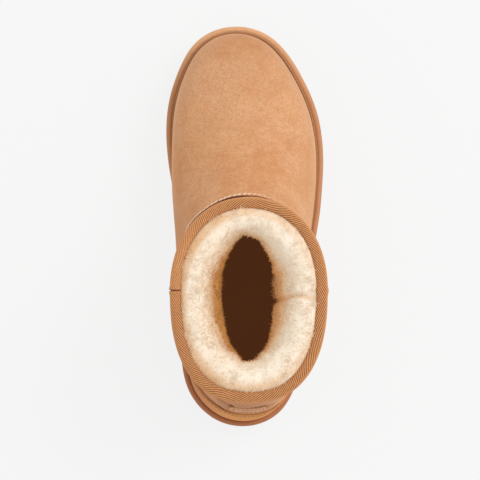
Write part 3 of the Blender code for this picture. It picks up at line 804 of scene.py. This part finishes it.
def sew(name, places, normals, alongs, length, width, height, slant=0.0):
    """Copies one stitch to every place, turned along the seam and slanted, as one joined piece."""
    stitch = stitch_shape(length, width, height, name)
    shape = points_of(stitch)
    faces = [tuple(face.vertices) for face in stitch.data.polygons]
    bpy.data.meshes.remove(stitch.data)
    all_points = []
    all_faces = []
    for index, (place, normal, along) in enumerate(zip(places, normals, alongs)):
        up = Vector(normal).normalized()
        ahead = Vector(along)
        ahead = (ahead - up * ahead.dot(up)).normalized()
        ahead = Matrix.Rotation(slant, 3, up) @ ahead
        turn = np.array([ahead, up.cross(ahead), up])
        all_points.append(shape @ turn + np.asarray(place))
        all_faces += [tuple(corner + index * len(shape) for corner in face) for face in faces]
    mesh = bpy.data.meshes.new(name)
    mesh.from_pydata(np.concatenate(all_points).tolist(), [], all_faces)
    mesh.validate()
    return add_thing(name, mesh)


def strip_along(name, path, normals, width, height, closed=False):
    """A low rounded strip along a path."""
    if closed:
        along = np.roll(path, -1, axis=0) - np.roll(path, 1, axis=0)
    else:
        along = np.gradient(path, axis=0)
    side = unit(np.cross(along, normals))
    width = np.broadcast_to(width, len(path))[:, None]
    height = np.broadcast_to(height, len(path))[:, None]
    rows = [
        path + side * (width / 2 * math.cos(turn)) + normals * (height * math.sin(turn))
        for turn in np.linspace(0, math.tau, 12, endpoint=False)
    ]
    thing = shaped_grid(name, np.stack(rows), round_rows=True, round_columns=closed)
    seal(thing, ends=not closed)
    return thing


def sole_sides(steps):
    """The sole's outline and, on each column of it, the heights of its side."""
    sole = bpy.context.scene.boot_sole
    corners = node_corners("outsole")
    near = np.linalg.norm(corners[:, None, :2] - corners[None, :, :2], axis=2) < 2e-5
    side = corners[near.sum(axis=1) == 4]
    side = side[np.lexsort((side[:, 2], np.round(np.arctan2(side[:, 1], side[:, 0]), 4)))].reshape(-1, 4, 3)
    smooth = through_corners(np.column_stack([side[:, 0, :2], side[:, :, 2]]), steps)
    under = np.maximum(smooth[:, 2] - sole.under_round * 1.4, 0.0)
    return smooth[:, :2], under, smooth[:, 3], smooth[:, 4], smooth[:, 5] + sole.rim_round


class BOOT_OT_stage(bpy.types.Operator):
    """Adds the pale floor, the soft light and the camera over the boot"""

    bl_idname = "boot.stage"
    bl_label = "Stage"

    def execute(self, context):
        stage = context.scene.boot_stage
        pick()
        bpy.ops.mesh.primitive_plane_add(size=stage.floor_size)
        floor = context.object
        floor.name = "floor"
        material, _, shader, _ = start_material("pale floor", 1.0, specular=0.0)
        shader["Base Color"].default_value = (*dim(stage.floor, 0.10), 1.0)
        shader["Emission Color"].default_value = (*stage.floor, 1.0)
        shader["Emission Strength"].default_value = 0.893
        floor.data.materials.append(material)
        world = bpy.data.worlds.new("soft light")
        world.use_nodes = True
        light = world.node_tree.nodes["Background"]
        light.inputs["Color"].default_value = (1.0, 1.0, 1.0, 1.0)
        light.inputs["Strength"].default_value = stage.sky
        context.scene.world = world
        bpy.ops.object.light_add(type="AREA", location=(0.9, 0.5, 1.4))
        key = context.object
        key.name = "key light"
        key.data.shape = "DISK"
        key.data.size = 0.9
        key.data.energy = stage.key
        key.rotation_euler = (Vector((0.0, 0.0, 0.05)) - key.location).to_track_quat("-Z", "Y").to_euler()
        bpy.ops.object.camera_add()
        camera = context.object
        camera.name = "camera"
        camera.data.sensor_width = 36.0
        camera.data.lens = stage.lens
        camera.data.clip_start = 0.05
        camera.data.clip_end = 50.0
        back = Vector((0.0, -math.cos(stage.tilt), math.sin(stage.tilt)))
        right = Vector((1.0, 0.0, 0.0))
        up = back.cross(right)
        camera.location = Vector(stage.target) + back * stage.distance
        camera.rotation_euler = Matrix((right, up, back)).transposed().to_euler()
        context.scene.camera = camera
        context.scene.view_settings.view_transform = "Standard"
        return {"FINISHED"}


class BOOT_OT_upper(bpy.types.Operator):
    """Makes the suede skin of foot and shaft, with its soft creases"""

    bl_idname = "boot.upper"
    bl_label = "Upper"

    def execute(self, context):
        suede = context.scene.boot_suede
        thing = copy_node("upper", "suede_upper", suede.smoothness)
        add_creases(thing)
        points = points_of(thing)
        # Painted shade: soft patches darken the suede round the listed places.
        darkened = np.zeros(len(points))
        for x, y, z, reach, strength in PAINTED_SHADE_PATCHES:
            far = np.linalg.norm(points - np.array([x, y, z]), axis=1) / reach
            darkened = np.maximum(darkened, strength * np.exp(-(far**2)))
        add_mask(thing, "darkened", darkened)
        # Painted sheen highlight: a pale band on the steep suede just above the sole.
        steep = 1 - ease(points_of(thing, "normal")[:, 2], 0.14, 0.50)
        height = points[:, 2]
        add_mask(thing, "wear_and_sheen", steep * (1 - ease(height, 0.032, 0.039)) * ease(height, 0.025, 0.031))
        material = suede_material(
            "brushed suede", suede.colour, suede.patch, suede.pale, darkened=suede.darkened, edge=suede.edge
        )
        finish_piece(thing, material, "suede", "upper")
        return {"FINISHED"}


class BOOT_OT_sole(bpy.types.Operator):
    """Makes the foam sole with its rounded rim, side groove and chevron tread"""

    bl_idname = "boot.sole"
    bl_label = "Sole"

    def execute(self, context):
        sole = context.scene.boot_sole
        plan, under, groove_low, groove_high, top = sole_sides(sole.columns)
        _, inwards = along_and_left(plan)
        quarter = np.linspace(0, math.pi / 2, 6)
        section = [
            (sole.under_round * (1 - math.sin(turn)), under + sole.under_round * 1.4 * (1 - math.cos(turn)))
            for turn in quarter
        ]
        section += [
            (0.0, groove_low - 0.0004),
            (0.0002, groove_low),
            (sole.groove_depth * 0.85, groove_low + 0.0004),
            (sole.groove_depth, (groove_low + groove_high) / 2),
            (sole.groove_depth * 0.85, groove_high - 0.0004),
            (0.0002, groove_high),
            (0.0, groove_high + 0.0004),
        ]
        section += [
            (sole.rim_round * (1 - math.cos(turn)), top - sole.rim_round * (1 - math.sin(turn)))
            for turn in quarter
        ]
        section += [
            (sole.rim_inset - 0.0008, top - 0.0001),
            (sole.rim_inset, top - 0.0008),
            (sole.rim_inset + 0.004, top - 0.0008),
        ]
        rows = [np.column_stack([plan + inwards * inset, heights]) for inset, heights in section]
        thing = shaped_grid("foam_outsole", np.stack(rows), round_columns=True)
        seal(thing)
        cutter = self.tread(sole)
        apply_modifier(thing, "BOOLEAN", operation="DIFFERENCE", object=cutter, solver="EXACT")
        bpy.data.meshes.remove(cutter.data)
        finish_piece(thing, foam_material(), "foam_sole", "outsole", angle=38)
        return {"FINISHED"}

    def tread(self, sole):
        """All the tread grooves as one cutter, each pointing to the toe in its middle."""
        low, high = (np.array(corner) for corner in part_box("outsole"))
        length = high[1] - low[1]
        reach = 0.08
        under = 0.0026
        half = sole.tread_width / 2
        bm = bmesh.new()
        for share, count in TREAD_FIELDS:
            for step in np.arange(count) - (count - 1) / 2:
                y = low[1] + share * length + step * sole.tread_pitch + sole.tread_point / 2
                rows = []
                for x, drop in ((-reach, 1.0), (0.0, 0.0), (reach, 1.0)):
                    middle = y - sole.tread_point * drop * reach / 0.0532 * 0.66
                    spring = 0.009 * ease((middle - low[1]) / length, 0.76, 1.06)
                    deep = sole.tread_depth + spring
                    section = ((-half, -under), (half, -under), (half * 0.8, deep), (-half * 0.8, deep))
                    rows.append([bm.verts.new((x, middle + across, height)) for across, height in section])
                for first, second in zip(rows, rows[1:]):
                    for i in range(4):
                        j = (i + 1) % 4
                        bm.faces.new((first[i], first[j], second[j], second[i]))
                bm.faces.new(rows[0])
                bm.faces.new(rows[-1])
        bmesh.ops.recalc_face_normals(bm, faces=bm.faces)
        mesh = bpy.data.meshes.new("tread cutter")
        bm.to_mesh(mesh)
        bm.free()
        return add_thing("tread cutter", mesh)


class BOOT_OT_insole(bpy.types.Operator):
    """Makes the wool sock over the seat, dark with painted shade deep in the boot"""

    bl_idname = "boot.insole"
    bl_label = "Insole"

    def execute(self, context):
        thing = copy_node("insole", "wool_insole", 0)
        apply_modifier(thing, "REMESH", mode="VOXEL", voxel_size=0.0022)
        points = points_of(thing)
        lift = np.array([
            noise.noise(Vector(point) * 160) + 0.5 * noise.noise(Vector(point) * 420) for point in points
        ])
        points[:, 2] += np.where(points[:, 2] > points[:, 2].min() + 0.004, 0.0009 * lift, 0.0)
        place_points(thing, points)
        finish_piece(thing, wool_material("insole wool"), "insole_wool", "insole")
        return {"FINISHED"}


class BOOT_OT_wool(bpy.types.Operator):
    """Makes the body of the wool pile with its soft locks"""

    bl_idname = "boot.wool"
    bl_label = "Wool"

    def execute(self, context):
        wool = context.scene.boot_wool
        thing = copy_node("wool_lining", "wool_body", 1, hold=80)
        apply_modifier(thing, "REMESH", mode="VOXEL", voxel_size=wool.voxel)
        apply_modifier(thing, "SMOOTH", factor=0.5, iterations=8)
        points = points_of(thing)
        normals = points_of(thing, "normal")
        inside = (normals[:, :2] * unit(from_axis(points))).sum(axis=1) < 0.35
        free = np.where(inside | (points[:, 2] > COLLAR_EDGE + 0.0005), 1.0, 0.0)
        free *= np.where(points[:, 2] > 0.05, 1.0, 0.3)
        lift = np.array([lock_height(point, wool.lock_size) for point in points]) * wool.lock_height
        points += normals * ((lift - 0.0024 * parting(points)) * free)[:, None]
        place_points(thing, points)
        add_mask(thing, "free", free)
        add_mask(thing, "yellowed", yellowed(points))
        finish_piece(thing, wool_material("wool"), "wool", "wool_lining")
        return {"FINISHED"}


def parting(points):
    """How near each point lies to the line where the lining's ends meet at the outer side, from 0 to 1."""
    away = from_axis(points)
    wander = 0.0010 * np.sin(points[:, 0] / 0.004)
    line = np.exp(-(((away[:, 1] - 0.0015 - wander) / 0.0017) ** 2))
    return line * (away[:, 0] > 0)


def yellowed(points):
    """How far the wool is yellowed: beside the tape and along the parting."""
    away = from_axis(points)
    half = (COLLAR_HIGH - COLLAR_LOW)[:2] / 2
    reach = np.linalg.norm(away / half, axis=1)
    inner = 0.5 - 0.5 * away[:, 0] / np.linalg.norm(away, axis=1)
    beside = ease(reach, 0.79 - 0.04 * inner, 0.86) * ease(points[:, 2], 0.140, 0.148) * (0.40 + 0.60 * inner)
    cloud = np.array([0.5 + 0.5 * noise.noise(Vector(point) / 0.011) for point in points])
    return np.clip(np.maximum(beside * (0.4 + 0.8 * cloud), 0.6 * parting(points)), 0.0, 1.0)


def lock_height(point, size):
    """Cloudy height of the pile's locks at a point."""
    place = Vector(point) / size
    place += noise.noise_vector(place * 0.6) * 0.6
    return sum(share * noise.noise(place * scale) for scale, share in ((1.0, 0.8), (2.7, 0.40), (6.1, 0.12)))


def grow_fibres(name, roots, normals, seed):
    """Thin curled ribbons from the roots, leaning together in locks, as one joined piece."""
    wool = bpy.context.scene.boot_wool
    chance = np.random.default_rng(seed)
    count = len(roots)
    lean = np.array([noise.noise_vector(Vector(root) / 0.006) for root in roots])
    lean += 0.35 * np.array([noise.noise_vector(Vector(root) / 0.0022 + Vector((7, 3, 1))) for root in roots])
    lean += 0.40 * chance.normal(size=(count, 3))
    lean -= normals * (lean * normals).sum(axis=1)[:, None]
    side = unit(np.cross(normals, lean + 0.15 * chance.normal(size=(count, 3))))
    long = wool.fibre_length * chance.uniform(0.65, 1.15, count)[:, None]
    wide = wool.fibre_width * chance.uniform(0.7, 1.3, count)[:, None]
    rows = []
    for share, width in ((0.0, 1.0), (0.4, 1.0), (0.75, 0.75)):
        middle = roots + long * (normals * (share - 0.28 * share**2) + lean * share**1.3 * 0.70)
        rows += [middle - side * (wide * width / 2), middle + side * (wide * width / 2)]
    rows.append(roots + long * (normals * 0.72 + lean * 0.70))
    points = np.stack(rows, axis=1).reshape(-1, 3)
    ribbon = ((2, 3, 1, 0), (4, 5, 3, 2), (6, 5, 4))
    starts = range(0, len(points), 7)
    faces = [tuple(start + corner for corner in face) for start in starts for face in ribbon]
    mesh = bpy.data.meshes.new(name)
    mesh.from_pydata(points.tolist(), [], faces)
    return add_thing(name, mesh)


class BOOT_OT_pile(bpy.types.Operator):
    """Grows the loose fibres of the pile over the rim and down the shaft, in four quarters"""

    bl_idname = "boot.pile"
    bl_label = "Loose pile"

    def execute(self, context):
        wool = context.scene.boot_wool
        body = bpy.data.objects["wool_body"]
        mesh = body.data
        mesh.calc_loop_triangles()
        corners = np.empty(len(mesh.loop_triangles) * 3, dtype=np.int32)
        mesh.loop_triangles.foreach_get("vertices", corners)
        corners = corners.reshape(-1, 3)
        points = points_of(body)
        free = np.empty(len(points), dtype=np.float32)
        mesh.attributes["free"].data.foreach_get("value", free)
        first, second, third = (points[corners[:, i]] for i in range(3))
        facing = np.cross(second - first, third - first)
        area = np.linalg.norm(facing, axis=1) / 2
        facing /= 2 * area[:, None] + 1e-12
        middle = (first + second + third) / 3
        want = area * (free[corners].min(axis=1) > 0.9) * (middle[:, 2] > LOWEST_ROOT)
        want *= 0.45 + 0.55 * ease(middle[:, 2], 0.10, 0.14)
        angles = np.degrees(headings(middle))
        material = wool_material("wool fibres", fibres=True)
        quarters = (("pile_front", 0), ("pile_lateral", 90), ("pile_back", 180), ("pile_medial", -90))
        for seed, (name, heading) in enumerate(quarters):
            turned = np.abs((angles - heading + 180) % 360 - 180) <= 45
            chance = np.random.default_rng(100 + seed)
            share = want * turned
            chosen = chance.choice(len(share), size=wool.fibres, p=share / share.sum())
            mix = chance.uniform(size=(wool.fibres, 2))
            flip = mix.sum(axis=1) > 1
            mix[flip] = 1 - mix[flip]
            roots = first[chosen] + mix[:, :1] * (second - first)[chosen]
            roots += mix[:, 1:] * (third - first)[chosen]
            normals = facing[chosen]
            roots -= normals * ROOT_DEPTH
            thing = grow_fibres(name, roots, normals, seed)
            add_mask(thing, "yellowed", np.repeat(yellowed(roots), 7))
            add_mask(thing, "strand", np.repeat(chance.uniform(size=len(roots)) ** 2, 7))
            add_mask(thing, "tip", np.tile([0.0, 0.0, 0.4, 0.4, 0.75, 0.75, 1.0], len(roots)))
            finish_piece(thing, material, "wool")
        return {"FINISHED"}


class BOOT_OT_tape(bpy.types.Operator):
    """Makes the ribbed tape folded over the collar's edge, with its join on the inner side"""

    bl_idname = "boot.tape"
    bl_label = "Collar tape"

    def execute(self, context):
        tape = context.scene.boot_tape
        outline = collar_outline()
        outline = np.roll(outline, -int(len(outline) * 0.770), axis=0)
        path, length = even_path(outline, 1200, closed=True)
        _, outwards = along_and_left(path)
        places = np.linspace(0, length, len(path), endpoint=False)
        section = np.column_stack([TAPE_SECTION, np.zeros(len(TAPE_SECTION))])
        section = rounded_path(even_path(section, 40)[0], 2)
        across = lengths_along(section)
        facing = np.gradient(section[:, :2], axis=0)
        facing = unit(np.stack([facing[:, 1], -facing[:, 0]], axis=1))
        if facing[len(facing) // 2, 1] < 0:
            facing = -facing
        flat = ease(across, 0.0, 0.0006) * (1 - ease(across, across[-1] - 0.0008, across[-1]))
        turn = math.tau * (places[None, :] / tape.rib_along + across[:, None] / tape.rib_across)
        ribs = (0.5 + 0.5 * np.sin(turn)) * tape.rib_height * flat[:, None]
        heading = headings(path)
        curl = sum(
            lift * np.exp(-(((heading - math.radians(at)) / wide) ** 2)) for at, wide, lift in TAPE_KINKS
        )
        join = np.exp(-((np.minimum(places, length - places) / tape.join_gap) ** 4))
        curl = curl - 0.0011 * join
        wear_and_sheen = 1 - 0.70 * np.exp(-(((np.degrees(heading) + 62) / 34) ** 2))
        ribs = ribs * wear_and_sheen[None, :]
        reach = section[:, 0][:, None] + facing[:, 0][:, None] * (ribs + curl[None, :])
        over = section[:, 1][:, None] + facing[:, 1][:, None] * (ribs + curl[None, :])
        path[:, 2] = COLLAR_EDGE
        points = path[None] + outwards[None] * reach[..., None]
        points[..., 2] += over
        back_reach, back_over = np.array(TAPE_BACK).T
        back = path[None] + outwards[None] * back_reach[:, None, None]
        back[..., 2] += back_over[:, None]
        thing = shaped_grid("woven_tape", np.concatenate([points, back]), round_rows=True, round_columns=True)
        more = len(TAPE_BACK) + 1
        down = np.concatenate([across, across[-1] + 0.001 * np.arange(1, more + 1)])
        shape = (len(down), len(places) + 1)
        grid = [np.broadcast_to(part, shape).ravel() for part in (np.append(places, length), down[:, None])]
        loops = np.empty(len(thing.data.loops), dtype=np.int32)
        thing.data.loops.foreach_get("vertex_index", loops)
        uv = np.column_stack(grid)[loops].astype(np.float32)
        thing.data.uv_layers.new(name="woven").data.foreach_set("uv", uv.ravel())
        edge = np.concatenate([np.exp(-(((across - 0.0094) / 0.0011) ** 2)), np.zeros(more)])
        add_mask(thing, "outer_edge", np.broadcast_to(edge[:, None], shape).ravel())
        for name, values in (("join", join), ("wear_and_sheen", 1 - wear_and_sheen)):
            add_mask(thing, name, np.broadcast_to(np.append(values, values[0]), shape).ravel())
        tidy_faces(thing, 1e-7, turn=True)
        finish_piece(thing, tape_material(), "tape", "collar_binding")
        return {"FINISHED"}


class BOOT_OT_seams(bpy.types.Operator):
    """Makes the raised seams of the upper and the thread over them"""

    bl_idname = "boot.seams"
    bl_label = "Seams"

    def execute(self, context):
        seams = context.scene.boot_seams
        tree = skin_tree()
        pale = context.scene.boot_suede.pale
        ridge = suede_material("seam suede", seams.ridge, dim(seams.ridge, 0.8), pale, 0.5)
        thread = thread_material("seam thread", seams.thread, seams.ridge)
        gap = thread_material("seam shadow", seams.gap)
        for name, words in SEAM_NODES.items():
            path = rounded_path(even_path(ridge_path(name), 260)[0], 30)
            path, normals = lay_on(tree, path)
            normals = unit(rounded_path(normals, 12))
            low = 1 - 0.6 * ease(path[:, 0], 0.006, 0.018) if name == "vamp_seam" else np.ones(len(path))
            body = strip_along(words + "_ridge", path, normals, RIDGE_WIDTH, RIDGE_HEIGHT * low)
            finish_piece(body, ridge, "suede", name)
            along = np.gradient(path, axis=0)
            side = unit(np.cross(along, normals))
            inner = side * (1 if side[130, 1] < 0 else -1)
            # Painted shadow: an uneven dark strip in the gap on the ridge's collar side, narrowing towards
            # the foot's outer side.
            if name == "vamp_seam":
                line, lined = lay_on(tree, path + inner * 0.0014)
                opened = 1 - ease(path[:, 0], -0.016, 0.014)
                uneven = 0.75 + 0.25 * np.sin(path[:, 0] / 0.0011) * np.sin(path[:, 0] / 0.0037)
                trench = strip_along(
                    "vamp_seam_shadow", line, lined, 0.0004 + 0.0018 * opened * uneven, 0.0002 + 0.0010 * opened
                )
                finish_piece(trench, gap, "suede")
            spots = np.linspace(3, len(path) - 4, int(even_path(path, 2)[1] / seams.pitch)).astype(int)
            places = path + inner * 0.0005 + normals * (THREAD_RISE * low)[:, None]
            rows = sew(
                words + "_thread", places[spots], normals[spots], along[spots],
                seams.pitch * 0.98, seams.thickness * 1.25, seams.thickness, slant=math.radians(28),
            )
            finish_piece(rows, thread, "suede")
        return {"FINISHED"}


class BOOT_OT_heel(bpy.types.Operator):
    """Makes the heel patch and the blank tab over it, each with its stitched edge"""

    bl_idname = "boot.heel"
    bl_label = "Heel patch and tab"

    def execute(self, context):
        heel = context.scene.boot_heel
        patch = self.press_on("heel_counter", "heel_patch", 2, 0.00075)
        # The heel patch is darker towards both sides.
        add_mask(patch, "darkened", ease(np.abs(points_of(patch)[:, 0] - 0.004), 0.016, 0.034))
        material = suede_material(
            "heel suede", heel.colour, dim(heel.colour, 0.78), dim(heel.colour, 1.1),
            darkened=heel.sides, edge=heel.colour,
        )
        finish_piece(patch, material, "counter_suede", "heel_counter", angle=40)
        tab = self.press_on("heel_tab", "blank_tab", 3, 0.00085)
        pale = context.scene.boot_suede.pale
        material = suede_material("tab suede", heel.tab, dim(heel.tab, 0.8), pale, 0.5, 1.2)
        finish_piece(tab, material, "tape", "heel_tab", angle=40)
        thread = thread_material("heel thread", dim(heel.tab, 0.80))
        for name, inset in (("heel_patch_thread", 0.0), ("heel_patch_second_thread", 0.0024)):
            self.sew_row(patch, name, self.top_line(heel.row_inset + inset), False, thread, "counter_suede")
        self.sew_row(tab, "blank_tab_thread", self.tab_line(heel.row_inset * 0.9), True, thread, "tape")
        return {"FINISHED"}

    def press_on(self, node, name, levels, depth):
        """A copy of a patch, pressed onto the skin so that no gap shows along its edge."""
        thing = copy_node(node, name, levels, hold=60)
        points = points_of(thing)
        _, normals = lay_on(skin_tree(), points)
        place_points(thing, points - normals * depth)
        return thing

    def top_line(self, inset):
        """The line a little below the heel patch's upper edge."""
        corners = node_corners("heel_counter")
        half = np.ptp(corners[:, 0]) / 2
        top = []
        for share in np.linspace(-1, 1, 121):
            x = corners[:, 0].mean() + share * half * 0.985
            near = corners[np.abs(corners[:, 0] - x) < 0.0032]
            if len(near):
                best = near[near[:, 2].argmax()]
                top.append((x, best[1], best[2]))
        line = rounded_path(np.array(top), 60)
        line[:, 2] -= inset
        return line

    def tab_line(self, inset):
        """The line all round the tab, a little inside its edge."""
        corners = node_corners("heel_tab")
        angles = np.linspace(0, math.tau, 120, endpoint=False)
        x, z = (
            corners[:, i].mean() + np.sign(wave) * np.abs(wave) ** 0.25 * (np.ptp(corners[:, i]) / 2 - inset)
            for i, wave in ((0, np.cos(angles)), (2, np.sin(angles)))
        )
        return np.column_stack([x, np.full(len(angles), corners[:, 1].min()), z])

    def sew_row(self, thing, name, line, closed, thread, slot):
        """Sews a row of stitches over a patch along a line, on the part of it that faces backwards."""
        path, length = even_path(line, 400, closed=closed)
        places, normals = lay_on(tree_of(thing), path)
        outer = normals[:, 1] < 0.2
        places = places[outer]
        normals = normals[outer]
        along = np.gradient(places, axis=0)
        spots = np.linspace(2, len(places) - 3, int(length / 0.0026)).astype(int)
        row = sew(name, places[spots], normals[spots], along[spots], 0.0021, 0.0007, 0.0006)
        finish_piece(row, thread, slot)


class BOOT_OT_feather(bpy.types.Operator):
    """Makes the painted shadow strip in the gap and the tight stitches where the upper meets the sole's rim
    """

    bl_idname = "boot.feather"
    bl_label = "Feather line"

    def execute(self, context):
        seams = context.scene.boot_seams
        sole = context.scene.boot_sole
        plan, _, _, _, top = sole_sides(8)
        tree = skin_tree()
        _, inwards = along_and_left(plan)
        line = []
        for spot, way, height in zip(plan, inwards, top):
            reach = 0.0045
            for lift in np.linspace(0.0006, 0.0150, 9):
                start = Vector((*(spot - way * 0.02), height + lift))
                _, _, _, far = tree.ray_cast(start, Vector((*way, 0.0)))
                if far is not None:
                    reach = min(reach, far - 0.02)
            line.append((*(spot + way * max(reach, 0.0012)), height + 0.0001))
        path, length = even_path(rounded_path(np.array(line), 2), 720, closed=True)
        up = np.tile([0.0, 0.0, 1.0], (len(path), 1))
        along, left = along_and_left(path)
        outwards = -left
        # Painted shadow: a darker strip of foam colour in the gap under the upper's edge.
        trench = strip_along("feather_shadow_strip", path, up, 0.0016, 0.0006, closed=True)
        finish_piece(trench, thread_material("feather shadow", dim(sole.colour, 0.80)), "foam_sole")
        count = int(length / seams.sole_pitch)
        spots = (np.arange(count) * len(path) / count).astype(int)
        raised = (0.0013 * ease(path[:, 1], 0.070, 0.110) - 0.0012)[:, None]
        places = path + outwards * 0.0002 + up * raised
        row = sew(
            "feather_stitches", places[spots], (outwards * 0.6 + up * 0.8)[spots], along[spots],
            seams.sole_pitch * 0.70, 0.0010, 0.0008, slant=math.radians(35),
        )
        finish_piece(row, thread_material("sole thread", dim(sole.light, 1.05)), "foam_sole")
        return {"FINISHED"}


class BOOT_PT_panel(bpy.types.Panel):
    """Sizes, colours and pieces of the sheepskin boot"""

    bl_label = "Sheepskin boot"
    bl_idname = "BOOT_PT_panel"
    bl_space_type = "VIEW_3D"
    bl_region_type = "UI"
    bl_category = "Boot"

    def draw(self, context):
        scene = context.scene
        for name in SETTINGS:
            box = self.layout.box()
            settings = getattr(scene, name)
            for label in settings.__annotations__:
                box.prop(settings, label)
        for operator in OPERATORS:
            self.layout.operator(operator.bl_idname)


SETTINGS = {
    "boot_stage": BootStageSettings,
    "boot_suede": BootSuedeSettings,
    "boot_sole": BootSoleSettings,
    "boot_wool": BootWoolSettings,
    "boot_tape": BootTapeSettings,
    "boot_seams": BootSeamSettings,
    "boot_heel": BootHeelSettings,
}
OPERATORS = (
    BOOT_OT_stage,
    BOOT_OT_upper,
    BOOT_OT_sole,
    BOOT_OT_insole,
    BOOT_OT_wool,
    BOOT_OT_pile,
    BOOT_OT_tape,
    BOOT_OT_seams,
    BOOT_OT_heel,
    BOOT_OT_feather,
)


def register():
    for name, settings in SETTINGS.items():
        bpy.utils.register_class(settings)
        setattr(bpy.types.Scene, name, PointerProperty(type=settings))
    for operator in OPERATORS:
        bpy.utils.register_class(operator)
    bpy.utils.register_class(BOOT_PT_panel)


def unregister():
    bpy.utils.unregister_class(BOOT_PT_panel)
    for operator in reversed(OPERATORS):
        bpy.utils.unregister_class(operator)
    for name, settings in reversed(SETTINGS.items()):
        delattr(bpy.types.Scene, name)
        bpy.utils.unregister_class(settings)


def write_sizes():
    """Brings the view layer up to date."""
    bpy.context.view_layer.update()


def main():
    register()
    for operator in OPERATORS:
        group, call = operator.bl_idname.split(".")
        getattr(getattr(bpy.ops, group), call)()
    write_sizes()


if __name__ == "__main__":
    main()
